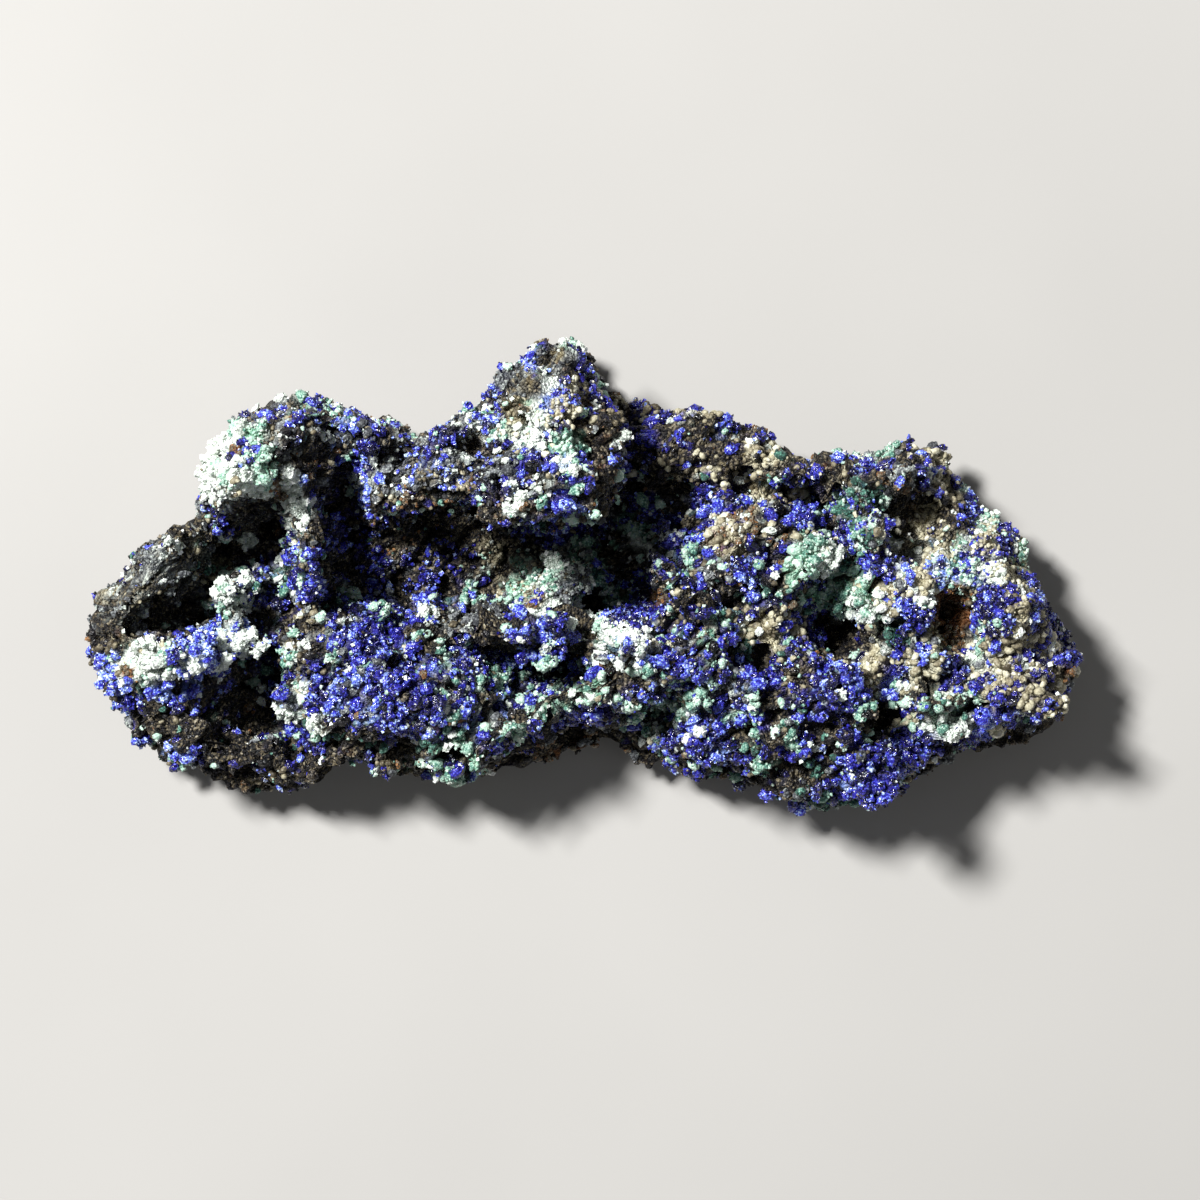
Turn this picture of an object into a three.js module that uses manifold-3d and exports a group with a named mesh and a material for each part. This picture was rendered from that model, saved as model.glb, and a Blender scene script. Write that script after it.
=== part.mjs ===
// An azurite specimen: dark, iron-rich rock overgrown by azurite, malachite and pale round grains.
// It lies on its broken back with its best face up.
// The rock and its crusts formed as one mass, so it is one solid.
// Millimetres, +Z up. The origin lies under the middle of the specimen, on the surface that it rests on.
import * as THREE from "three";
import { ImprovedNoise } from "three/addons/math/ImprovedNoise.js";
import { mergeVertices } from "three/addons/utils/BufferGeometryUtils.js";
import Module from "manifold-3d";

// Driving dimensions of the whole specimen.
const LENGTH = 80;
const WIDTH = 37.8;
const THICKNESS = 25;

// How the body is built up between its face and its back.
const FOOT = 5; // height that every mound of the face rises from
const DEEPEST = 3.5; // no hollow of the face goes lower than this
const BLEND = 1.4; // how softly neighbouring mounds run together
const EDGE_ROUND = 3.2; // width of the rounded rim inside the outline
const EDGE_SHARE = 0.6; // share of the face's height that is left at the rim
const BACK_EDGE = 2.2; // height of the chipped edge round the back
const BACK_SINK = 0.15; // how far the back lies below the resting plane before it is cut flat
const BACK_WAVE = 11; // distance between the swells of the broken back
const BACK_SWELL = 2.2; // and how far they rise and fall
const MOUND_FULLNESS = 0.55; // 0 would give a mound a flat top and 1 a pointed one
const ROUGHNESS = [[9, 0.8], [4.3, 0.5], [2.1, 0.26]]; // wavelength and height of each octave of broken rock
const NODULE_SINK = 0.25; // how deep a nodule's centre lies below the face, in radii
const NODULE_SHAPE = [1, 0.85, 0.8]; // its half axes, in radii
const NODULE_TURN = 40; // degrees that each millimetre of its place turns it by, so that no two look alike
const LUMP_SPREAD = 1.3; // foot of a low lump, in radii
const LUMP_RISE = 0.9; // and its height, in radii
const END_CROWDING = 1.45; // how much closer the facets stand at the two ends than along the middle
const BODY_DETAIL = 13; // subdivisions of the icosahedron that becomes the body
const KNOB_DETAIL = 3; // of those that become the knob and the undercuts
const NODULE_DETAIL = 1; // and of those that become the nodules
const UNDERCUT_ROUGHNESS = 0.9; // how rough the undercuts are, beside the body's 1
const KNOB_ROUGHNESS = 1.7; // and how rough the knob is

// The outline of the face, from the left tip and clockwise, as [x, y].
const OUTLINE = [
  [-40, -5.3], [-39.1, -2.3], [-37.2, 0.5], [-35.4, 2.6], [-33.7, 4], [-31.2, 5], [-31.2, 6.4], [-30.2, 8.7],
  [-28.2, 11.8], [-26.4, 13.2], [-22.8, 14.6], [-21.1, 13.9], [-19.1, 14.6], [-16.9, 13.5], [-14.2, 12.1],
  [-12.9, 10.8], [-10.6, 12.4], [-7.5, 13.6], [-6.3, 16.2], [-4.7, 18], [-2.5, 18.9], [0, 18.6], [1.3, 16.8],
  [3, 14.8], [5.9, 13.2], [9.4, 13.6], [12.4, 12.6], [15.4, 11.1], [17.6, 9.4], [20.9, 9.4], [23.2, 10.8],
  [25.6, 10.9], [29.1, 10.2], [29.8, 8.3], [33.3, 5.3], [35.6, 3.4], [36.8, -0.6], [38.4, -2.7], [40, -7.1],
  [39.9, -10], [37.8, -12.1], [33.5, -13.5], [28.7, -15.3], [24, -17.9], [20.1, -18.7], [16.9, -18.8],
  [14.3, -16.7], [9.4, -15.8], [5.9, -15], [3.5, -13.3], [0.4, -13], [-2.4, -14.3], [-6.3, -15.5],
  [-10.5, -17.2], [-12.2, -15.5], [-15, -15.8], [-17.3, -14], [-19.9, -14.1], [-22.8, -16.5],
  [-26.4, -16.8], [-29.5, -15.3], [-33.5, -14.8], [-35.2, -12.4], [-37.4, -8.8],
];

// Mounds of the face: centre, half axes, turn in degrees and the height of the top.
const MOUNDS = [
  { name: "wedge slab", at: [-33.9, -0.3], half: [7.5, 2.8], turn: 40, top: 13 },
  { name: "wedge ridge", at: [-32.7, 2.8], half: [5.9, 1.4], turn: 35, top: 15 },
  { name: "wedge tip", at: [-38.4, -4.1], half: [2.2, 2.2], turn: 0, top: 9 },
  { name: "lower left ridge", at: [-32.7, -6.1], half: [6.9, 2.2], turn: 12, top: 16.5 },
  { name: "lower left body", at: [-31.2, -9.6], half: [6, 4.4], turn: -15, top: 11.5 },
  { name: "lower left foot", at: [-25.4, -14.6], half: [5.6, 2.6], turn: 5, top: 10.5 },
  { name: "pale nodule seat", at: [-27.6, -1.2], half: [2.3, 2.5], turn: 0, top: 12.5 },
  { name: "upper left dome", at: [-25, 9.1], half: [6.6, 5.5], turn: 20, top: 19 },
  { name: "upper left cap", at: [-27.1, 8.7], half: [3.5, 3.5], turn: 0, top: 21 },
  { name: "upper left leg", at: [-21.3, 2.6], half: [1.9, 4.9], turn: 10, top: 16.5 },
  { name: "upper left shoulder", at: [-29.9, 5.6], half: [2.4, 1.9], turn: 0, top: 13.5 },
  { name: "upper left crest", at: [-22, 13.4], half: [3.9, 1.7], turn: -10, top: 15.5 },
  { name: "saddle dome", at: [-16.4, 11.2], half: [4.3, 3], turn: -15, top: 16 },
  { name: "saddle skirt", at: [-15.4, 7.1], half: [2.7, 3.5], turn: 0, top: 15.5 },
  { name: "knob root", at: [-2.8, 11.7], half: [5, 7.2], turn: 0, top: 17 },
  { name: "knob wing root", at: [-9.1, 10.1], half: [4.7, 3.1], turn: 15, top: 14.5 },
  { name: "knob right flank", at: [2.5, 10.5], half: [2.8, 5.2], turn: -15, top: 12.5 },
  { name: "floor slope", at: [-2.4, -0.9], half: [5, 2.8], turn: 10, top: 12.5 },
  { name: "shelf ridge", at: [-4.7, -3.9], half: [8.2, 1.9], turn: 8, top: 17.5 },
  { name: "central dome", at: [-14.2, -8.8], half: [10.7, 6], turn: -8, top: 17 },
  { name: "central left", at: [-20.1, -5.7], half: [4.9, 3.8], turn: 10, top: 15.5 },
  { name: "tip mass", at: [-10.6, -14.5], half: [3.1, 3], turn: 0, top: 12.5 },
  { name: "tip ridge", at: [-5.1, -11.6], half: [6.6, 1.4], turn: 35, top: 14.5 },
  { name: "arch brow", at: [2.4, -8.8], half: [5.2, 2.7], turn: 10, top: 16.5 },
  { name: "middle dome", at: [4.3, -5.3], half: [4.9, 3.6], turn: 0, top: 18 },
  { name: "white streak", at: [8.7, -1.7], half: [6.6, 1.4], turn: -50, top: 18 },
  { name: "middle right", at: [9.8, -5.7], half: [6, 5.2], turn: 0, top: 16.5 },
  { name: "centre right dome", at: [14.2, 1], half: [7.9, 6], turn: 0, top: 16 },
  { name: "bowl floor", at: [9.4, 9.3], half: [9.1, 4.4], turn: 0, top: 10.5 },
  { name: "bowl rim", at: [9.4, 12.6], half: [7.2, 1.6], turn: -5, top: 12 },
  { name: "bowl rim right", at: [15.1, 9.9], half: [3.8, 2], turn: -25, top: 13.5 },
  { name: "lower right dome", at: [17.7, -9.6], half: [9.1, 6.8], turn: -10, top: 15.5 },
  { name: "lower right brow", at: [22.8, -14.3], half: [4.9, 3], turn: 15, top: 13.5 },
  { name: "lower right toe", at: [17.3, -16.3], half: [3.6, 2.4], turn: 0, top: 12 },
  { name: "arch right foot", at: [9.4, -12.9], half: [4.1, 2.8], turn: 0, top: 12 },
  { name: "fan", at: [29.1, -1.7], half: [11.2, 12.4], turn: 0, top: 14 },
  { name: "fan crown", at: [24.4, 8.7], half: [4.4, 2.7], turn: 10, top: 16 },
  { name: "fan inner ridge", at: [23, 3.8], half: [2, 4.4], turn: 8, top: 17 },
  { name: "fan cream mound", at: [33.2, -2.5], half: [3.5, 5.5], turn: -12, top: 15.5 },
  { name: "fan lower mound", at: [34, -8.8], half: [5.7, 3.3], turn: 15, top: 15 },
  { name: "fan inner mound", at: [27.2, -9.6], half: [3.3, 2.8], turn: 0, top: 15.5 },
];

// Hollows of the face: the same, with a depth below what the mounds leave.
const HOLLOWS = [
  { name: "dark gully", at: [-18.3, 5.7], half: [1.6, 6.8], turn: 0, depth: 7 },
  { name: "left pocket", at: [-24.6, 3.1], half: [2.2, 2.8], turn: 0, depth: 7 },
  { name: "wedge crevice", at: [-33.1, -3.9], half: [6.1, 1.3], turn: 25, depth: 6 },
  { name: "wedge crevice end", at: [-28.2, 0.9], half: [1.7, 2.5], turn: 0, depth: 5 },
  { name: "great hollow", at: [-8.7, 1.3], half: [8.8, 3.5], turn: 0, depth: 6 },
  { name: "great hollow left", at: [-15, 1], half: [3.8, 3.6], turn: 0, depth: 5 },
  { name: "left notch", at: [-24.5, -8.3], half: [1.7, 5], turn: 6, depth: 7 },
  { name: "left dark dip", at: [-27.4, -10.8], half: [3.2, 2.2], turn: 0, depth: 5 },
  { name: "central left cleft", at: [-21, -13.9], half: [4.5, 1.3], turn: -12, depth: 4 },
  { name: "central pit", at: [-17.2, -8.2], half: [2.4, 1.2], turn: 25, depth: 3.5 },
  { name: "central furrow", at: [-12.4, -6.8], half: [3.2, 1.1], turn: 30, depth: 3 },
  { name: "tip pit", at: [-13.6, -12.6], half: [2, 1.2], turn: -20, depth: 3 },
  { name: "fan upper hollow", at: [27.2, 4.6], half: [2.4, 3.1], turn: -10, depth: 5 },
  { name: "fan rust hollow", at: [29.5, -3.1], half: [2, 3], turn: 0, depth: 6 },
  { name: "fan furrow", at: [25.6, 9.3], half: [0.9, 2.4], turn: 5, depth: 3 },
  { name: "bowl crease", at: [11, 7.2], half: [7.4, 1], turn: -3, depth: 3 },
  { name: "bowl left deep", at: [4.1, 7.7], half: [2.2, 3.6], turn: 0, depth: 3.5 },
  { name: "right pit", at: [20.3, -4.9], half: [2.2, 1.6], turn: 0, depth: 4.5 },
  { name: "right lower pit", at: [23.8, -10.6], half: [1.6, 2], turn: 0, depth: 5 },
  { name: "middle cleft", at: [1, -1.6], half: [1.2, 3], turn: 5, depth: 5 },
  { name: "shelf undercut", at: [-6.6, -5.4], half: [3, 1.3], turn: 8, depth: 3.8 },
  { name: "shelf gap", at: [-0.6, -6.2], half: [1.8, 1.3], turn: 0, depth: 4.5 },
  { name: "streak pit", at: [11.6, -1], half: [1.6, 1.4], turn: 0, depth: 4 },
  { name: "middle dip", at: [5.2, -9.4], half: [2.8, 1.2], turn: 5, depth: 3 },
  { name: "right furrow", at: [13.4, -6.6], half: [3.4, 1.3], turn: -35, depth: 4 },
  { name: "boulder shadow", at: [18.4, -0.6], half: [2.8, 1.1], turn: 12, depth: 3.5 },
  { name: "lower right furrow", at: [17.2, -12.2], half: [1.2, 3], turn: 20, depth: 3.5 },
  { name: "fan lower furrow", at: [30.4, -6.6], half: [3.4, 0.9], turn: 20, depth: 2.5 },
];

// The great hollow runs in under the knob: solids that are cut out of the body.
const UNDERCUTS = [
  { name: "great hollow", at: [-8.6, 2.6, 13.6], half: [8.6, 4.6, 6.2], turn: 4 },
  { name: "great hollow left", at: [-15.4, 1.6, 12.5], half: [4.2, 3.6, 5.4], turn: -20 },
  { name: "left pocket", at: [-24.4, 3.4, 13], half: [2, 2.8, 5.5], turn: 10 },
];

// The knob and its wing, which overhang the great hollow.
const OVERHANGS = [
  { name: "knob core", at: [-2.4, 10.8, 15], half: [4.7, 6.6, 7.6], turn: -6 },
  { name: "knob summit", at: [-1.3, 15, 12.5], half: [3.4, 3.7, 5.4], turn: 0 },
  { name: "knob brow", at: [-2.9, 6.9, 20], half: [4.9, 2.7, 4.6], turn: 6 },
  { name: "knob shoulder", at: [1.4, 9.6, 15.5], half: [2.6, 4.6, 5.4], turn: -10 },
  { name: "knob wing", at: [-8.8, 9.2, 16.6], half: [5.6, 3.5, 4.4], turn: 14 },
];

// Lumps of crust on the knob and its wing: [x, y, z, radius].
const KNOB_LUMPS = [
  [-4.6, 13, 20.6, 2.1], [-0.5, 13.4, 19.6, 2.2], [-5.8, 8.2, 21.8, 2], [0.2, 7, 22.4, 1.9],
  [-2.2, 17, 15.4, 1.9], [-10.4, 10.6, 19.8, 1.9], [-12.2, 8.2, 17.6, 1.7], [2.2, 11.6, 19, 1.8],
];

// Nodules that stand out of the face on their own: [x, y, radius].
const NODULES = [
  [-26.8, -4.6, 2], [-31.1, -12.4, 2.2], [-27.7, -0.9, 1.9], [-22.8, -9.6, 2], [-19.7, -3.3, 2],
  [-16.4, -3.5, 2.7], [-13, -8.8, 2.2], [-15.4, -13.1, 2], [-2.4, -4.6, 2.5], [-6.1, -6.2, 2],
  [4.7, -8.8, 2.2], [6.7, -6.1, 1.9], [3.5, 2.6, 2.7], [11.4, 6.1, 1.9], [12.8, 3.4, 1.9],
  [18.5, 2, 2.4], [13, -8.8, 2.2], [20.3, -8.8, 2.5], [11, -13.1, 1.9], [22.8, -14.3, 2.4],
  [23.5, -1.7, 2], [37.8, -6.5, 1.9], [33.1, -5.7, 1.9], [29.9, -8.8, 1.9], [36.6, -9.6, 2],
  [27.2, -13.1, 2],
];

// Lower lumps of crust, raised out of the face itself: [x, y, radius].
const LUMPS = [
  [-36.4, -7.1, 1.7], [-29.5, -6.1, 1.7], [-11.8, -2.7, 1.7], [-8.7, -1.1, 1], [-19.7, -12.4, 1.7],
  [-11, -16.3, 1.4], [-7.9, -12, 1.6], [0.8, -6.1, 1.6], [5.1, 4.6, 1.4], [-1.6, 1, 1.4],
  [15, 4.6, 1.6], [16.5, -0.2, 1.7], [21.3, 1.4, 1.4], [17.3, -6.5, 1.4], [8.7, -10, 1.6],
  [14.2, -15.3, 1.4], [18.9, -17.1, 1.7], [24.6, -4.9, 1.7], [25.6, 0.6, 1.6], [33.1, 1.4, 1.6],
  [36.2, -2.5, 1.6], [31.9, -11.6, 1.7], [29.1, 7.7, 1.4], [22, 8.1, 1.6], [-18.5, 13.6, 1.6],
  [-14.6, 11.7, 1.4], [-24.6, 13.2, 1.6], [-29.5, 7.7, 1.4], [-22, 10.9, 1.7], [-20.1, 7.7, 1.7],
  [-21.3, -0.2, 1.4], [-16.9, -6.5, 1.8], [15.4, -4.3, 1.8], [16.5, -12.4, 1.8], [8.7, 12, 1.3],
  [12.6, 11.3, 1.4], [15.7, 8.5, 1.4], [6.3, 8.5, 1.1],
];

const noise = new ImprovedNoise();

// Rough broken rock: octaves of noise, as an offset in each direction.
function roughness(p, strength) {
  const [shiftX, shiftY, shiftZ] = [11, 23, 37]; // so that the three directions don't move alike
  const offset = new THREE.Vector3();
  for (const [wave, height] of ROUGHNESS) {
    const [x, y, z] = [p.x / wave, p.y / wave, p.z / wave];
    offset.x += height * noise.noise(x + shiftX, y, z);
    offset.y += height * noise.noise(x, y + shiftY, z);
    offset.z += height * noise.noise(x, y, z + shiftZ);
  }
  return offset.multiplyScalar(strength);
}

// How far out [x, y] lies in a turned ellipse: 0 at its centre and 1 on its rim.
function ellipseShare({ at, half, turn }, x, y) {
  const angle = THREE.MathUtils.degToRad(turn);
  const [dx, dy] = [x - at[0], y - at[1]];
  const along = dx * Math.cos(angle) + dy * Math.sin(angle);
  const across = dy * Math.cos(angle) - dx * Math.sin(angle);
  return Math.hypot(along / half[0], across / half[1]);
}

function softMax(a, b, width) {
  const h = Math.max(width - Math.abs(a - b), 0) / width;
  return Math.max(a, b) + (h * h * width) / 4;
}

// Height of the face over [x, y], before the rim is rounded.
function faceHeight(x, y) {
  let height = FOOT;
  for (const mound of MOUNDS) {
    const share = ellipseShare(mound, x, y);
    if (share < 1) {
      height = softMax(height, FOOT + (mound.top - FOOT) * (1 - share * share) ** MOUND_FULLNESS, BLEND);
    }
  }
  for (const hollow of HOLLOWS) {
    const share = ellipseShare(hollow, x, y);
    if (share < 1) {
      height -= hollow.depth * (1 - share * share);
    }
  }
  for (const [lumpX, lumpY, radius] of LUMPS) {
    const share = Math.hypot(x - lumpX, y - lumpY) / (LUMP_SPREAD * radius);
    if (share < 1) {
      height += LUMP_RISE * radius * (1 - share * share);
    }
  }
  return Math.max(height, DEEPEST);
}

const OUTLINE_STEPS = 6; // stretches of the smooth outline between two of its points
const outlinePoints = new THREE.CatmullRomCurve3(
  OUTLINE.map(([x, y]) => new THREE.Vector3(x, y, 0)),
  true,
  "centripetal",
).getPoints(OUTLINE.length * OUTLINE_STEPS);

// Distance from the middle to the outline along a bearing: the furthest crossing of the ray.
function outlineReach(bearing) {
  const [cx, cy] = [Math.cos(bearing), Math.sin(bearing)];
  let reach = 0;
  outlinePoints.forEach((a, i) => {
    const b = outlinePoints[(i + 1) % outlinePoints.length];
    const sideA = cx * a.y - cy * a.x;
    const sideB = cx * b.y - cy * b.x;
    if (sideA * sideB > 0 || sideA === sideB) return;
    const t = sideA / (sideA - sideB);
    reach = Math.max(reach, cx * (a.x + (b.x - a.x) * t) + cy * (a.y + (b.y - a.y) * t));
  });
  return reach;
}

// Height of the face over [x, y], rounded off towards an outline that lies `reach` from the middle.
function roundedHeight(x, y, reach) {
  const rounding = THREE.MathUtils.smoothstep(reach - Math.hypot(x, y), 0, EDGE_ROUND);
  return faceHeight(x, y) * THREE.MathUtils.lerp(EDGE_SHARE, 1, rounding);
}

// Carries a point of the unit sphere to the body.
// The sphere's cap becomes the face, its belt the rim and its base the back.
function bodyPoint(direction) {
  const rimStart = THREE.MathUtils.degToRad(105); // angle from the upper pole where the face meets the rim
  const rimEnd = THREE.MathUtils.degToRad(130); // and where the rim meets the back
  const faceShare = 0.965; // share of the outline's reach where the face ends
  const backShare = 0.93; // and where the back ends
  const backTurn = 0.75; // from here outwards the back rises to its chipped edge
  const backNoise = 0.5; // height of the level that the back's swells are read at
  const polar = Math.acos(THREE.MathUtils.clamp(direction.z, -1, 1));
  const bearing = Math.atan2(direction.y, END_CROWDING * direction.x);
  const reach = outlineReach(bearing);
  const [reachX, reachY] = [reach * Math.cos(bearing), reach * Math.sin(bearing)];
  const place = (share, z) => new THREE.Vector3(share * reachX, share * reachY, z);
  const face = (share) => roundedHeight(share * reachX, share * reachY, reach);
  if (polar <= rimStart) {
    const share = (faceShare * Math.sin(polar / 2)) / Math.sin(rimStart / 2);
    return place(share, face(share));
  }
  if (polar >= rimEnd) {
    const share = (backShare * Math.sin((Math.PI - polar) / 2)) / Math.sin((Math.PI - rimEnd) / 2);
    const rise = THREE.MathUtils.smoothstep(share, backTurn, backShare);
    const point = place(share, 0);
    const swell = BACK_SWELL * noise.noise(point.x / BACK_WAVE, point.y / BACK_WAVE, backNoise) * (1 - rise);
    return point.setZ(THREE.MathUtils.lerp(-BACK_SINK, BACK_EDGE, rise) + swell);
  }
  const down = (polar - rimStart) / (rimEnd - rimStart);
  const bulge = 4 * down * (1 - down);
  const share = THREE.MathUtils.lerp(faceShare, backShare, down) + bulge * (1 - (faceShare + backShare) / 2);
  return place(share, THREE.MathUtils.lerp(face(faceShare), BACK_EDGE, down));
}

// An icosahedron whose points are moved by a function, as one closed mesh.
function shapedIcosahedron(detail, move) {
  const sphere = new THREE.IcosahedronGeometry(1, detail);
  sphere.deleteAttribute("normal");
  sphere.deleteAttribute("uv");
  const sharedWithin = 1e-5;
  const closed = mergeVertices(sphere, sharedWithin);
  const position = closed.getAttribute("position");
  for (let i = 0; i < position.count; i++) {
    const moved = move(new THREE.Vector3().fromBufferAttribute(position, i));
    position.setXYZ(i, moved.x, moved.y, moved.z);
  }
  return closed;
}

function bodyGeometry() {
  return shapedIcosahedron(BODY_DETAIL, (direction) => {
    const point = bodyPoint(direction.normalize());
    return point.add(roughness(point, 1));
  });
}

// A rough lump with three half axes, turned about the vertical.
function lumpGeometry({ at, half, turn }, detail, strength) {
  const axis = new THREE.Vector3(0, 0, 1);
  const angle = THREE.MathUtils.degToRad(turn);
  return shapedIcosahedron(detail, (direction) => {
    const point = direction.multiply(new THREE.Vector3(...half)).applyAxisAngle(axis, angle);
    point.add(new THREE.Vector3(...at));
    return point.add(roughness(point, strength));
  });
}

const wasm = await Module();
wasm.setup();

function toSolid(geometry) {
  return new wasm.Manifold(
    new wasm.Mesh({
      numProp: 3,
      vertProperties: new Float32Array(geometry.getAttribute("position").array),
      triVerts: new Uint32Array(geometry.getIndex().array),
    }),
  );
}

function toGeometry(solid) {
  const mesh = solid.getMesh();
  return new THREE.BufferGeometry()
    .setAttribute("position", new THREE.BufferAttribute(new Float32Array(mesh.vertProperties), 3))
    .setIndex(new THREE.BufferAttribute(new Uint32Array(mesh.triVerts), 1));
}

// Everything below the resting plane, which cuts the broken back flat where it touches down.
function belowRest() {
  const depth = 20;
  const slab = new THREE.BoxGeometry(2 * LENGTH, 2 * WIDTH, depth).translate(0, 0, -depth / 2);
  slab.deleteAttribute("normal");
  slab.deleteAttribute("uv");
  return toSolid(mergeVertices(slab));
}

function specimenGeometry() {
  let solid = toSolid(bodyGeometry());
  for (const cut of UNDERCUTS) {
    solid = solid.subtract(toSolid(lumpGeometry(cut, KNOB_DETAIL, UNDERCUT_ROUGHNESS)));
  }
  for (const lump of OVERHANGS) {
    solid = solid.add(toSolid(lumpGeometry(lump, KNOB_DETAIL, KNOB_ROUGHNESS)));
  }
  const nodulesOnFace = NODULES.map(([x, y, radius]) => {
    const surface = roundedHeight(x, y, outlineReach(Math.atan2(y, x)));
    return [x, y, surface - NODULE_SINK * radius, radius];
  });
  for (const [x, y, z, radius] of [...nodulesOnFace, ...KNOB_LUMPS]) {
    const half = NODULE_SHAPE.map((share) => share * radius);
    const turn = NODULE_TURN * (x + y);
    solid = solid.add(toSolid(lumpGeometry({ at: [x, y, z], half, turn }, NODULE_DETAIL, 1)));
  }
  solid = solid.subtract(belowRest());
  return toGeometry(solid);
}

// Brings the rough solid to its driving dimensions, with the origin under its middle.
function fitToSize(geometry) {
  geometry.computeBoundingBox();
  const { min, max } = geometry.boundingBox;
  geometry.translate(-(min.x + max.x) / 2, -(min.y + max.y) / 2, -min.z);
  geometry.scale(LENGTH / (max.x - min.x), WIDTH / (max.y - min.y), THICKNESS / (max.z - min.z));
  return geometry;
}

// Dark limonite rock with a blue cast from the azurite that covers it.
function crustedRock() {
  return new THREE.MeshStandardMaterial({ color: 0x2c3560, roughness: 0.75, metalness: 0 });
}

const specimen = new THREE.Mesh(fitToSize(specimenGeometry()), crustedRock());
specimen.name = "specimen";

const part = new THREE.Group();
part.name = "azurite_specimen";
part.add(specimen);

export default part;
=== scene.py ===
import math

import bmesh
import bpy
import numpy as np
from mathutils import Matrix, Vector, noise
from mathutils.bvhtree import BVHTree


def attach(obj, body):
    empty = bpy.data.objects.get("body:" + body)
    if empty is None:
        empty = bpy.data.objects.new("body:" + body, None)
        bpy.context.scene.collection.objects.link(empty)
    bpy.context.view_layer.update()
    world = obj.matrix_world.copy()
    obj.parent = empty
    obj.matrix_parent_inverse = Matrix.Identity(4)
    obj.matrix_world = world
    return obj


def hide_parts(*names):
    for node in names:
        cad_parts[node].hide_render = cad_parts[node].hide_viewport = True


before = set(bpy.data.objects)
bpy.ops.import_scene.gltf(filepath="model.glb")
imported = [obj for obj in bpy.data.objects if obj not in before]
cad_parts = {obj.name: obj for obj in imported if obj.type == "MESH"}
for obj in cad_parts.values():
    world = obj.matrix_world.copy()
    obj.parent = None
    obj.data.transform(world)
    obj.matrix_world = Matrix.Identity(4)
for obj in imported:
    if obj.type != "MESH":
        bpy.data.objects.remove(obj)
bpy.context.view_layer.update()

MM = 0.001

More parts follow.
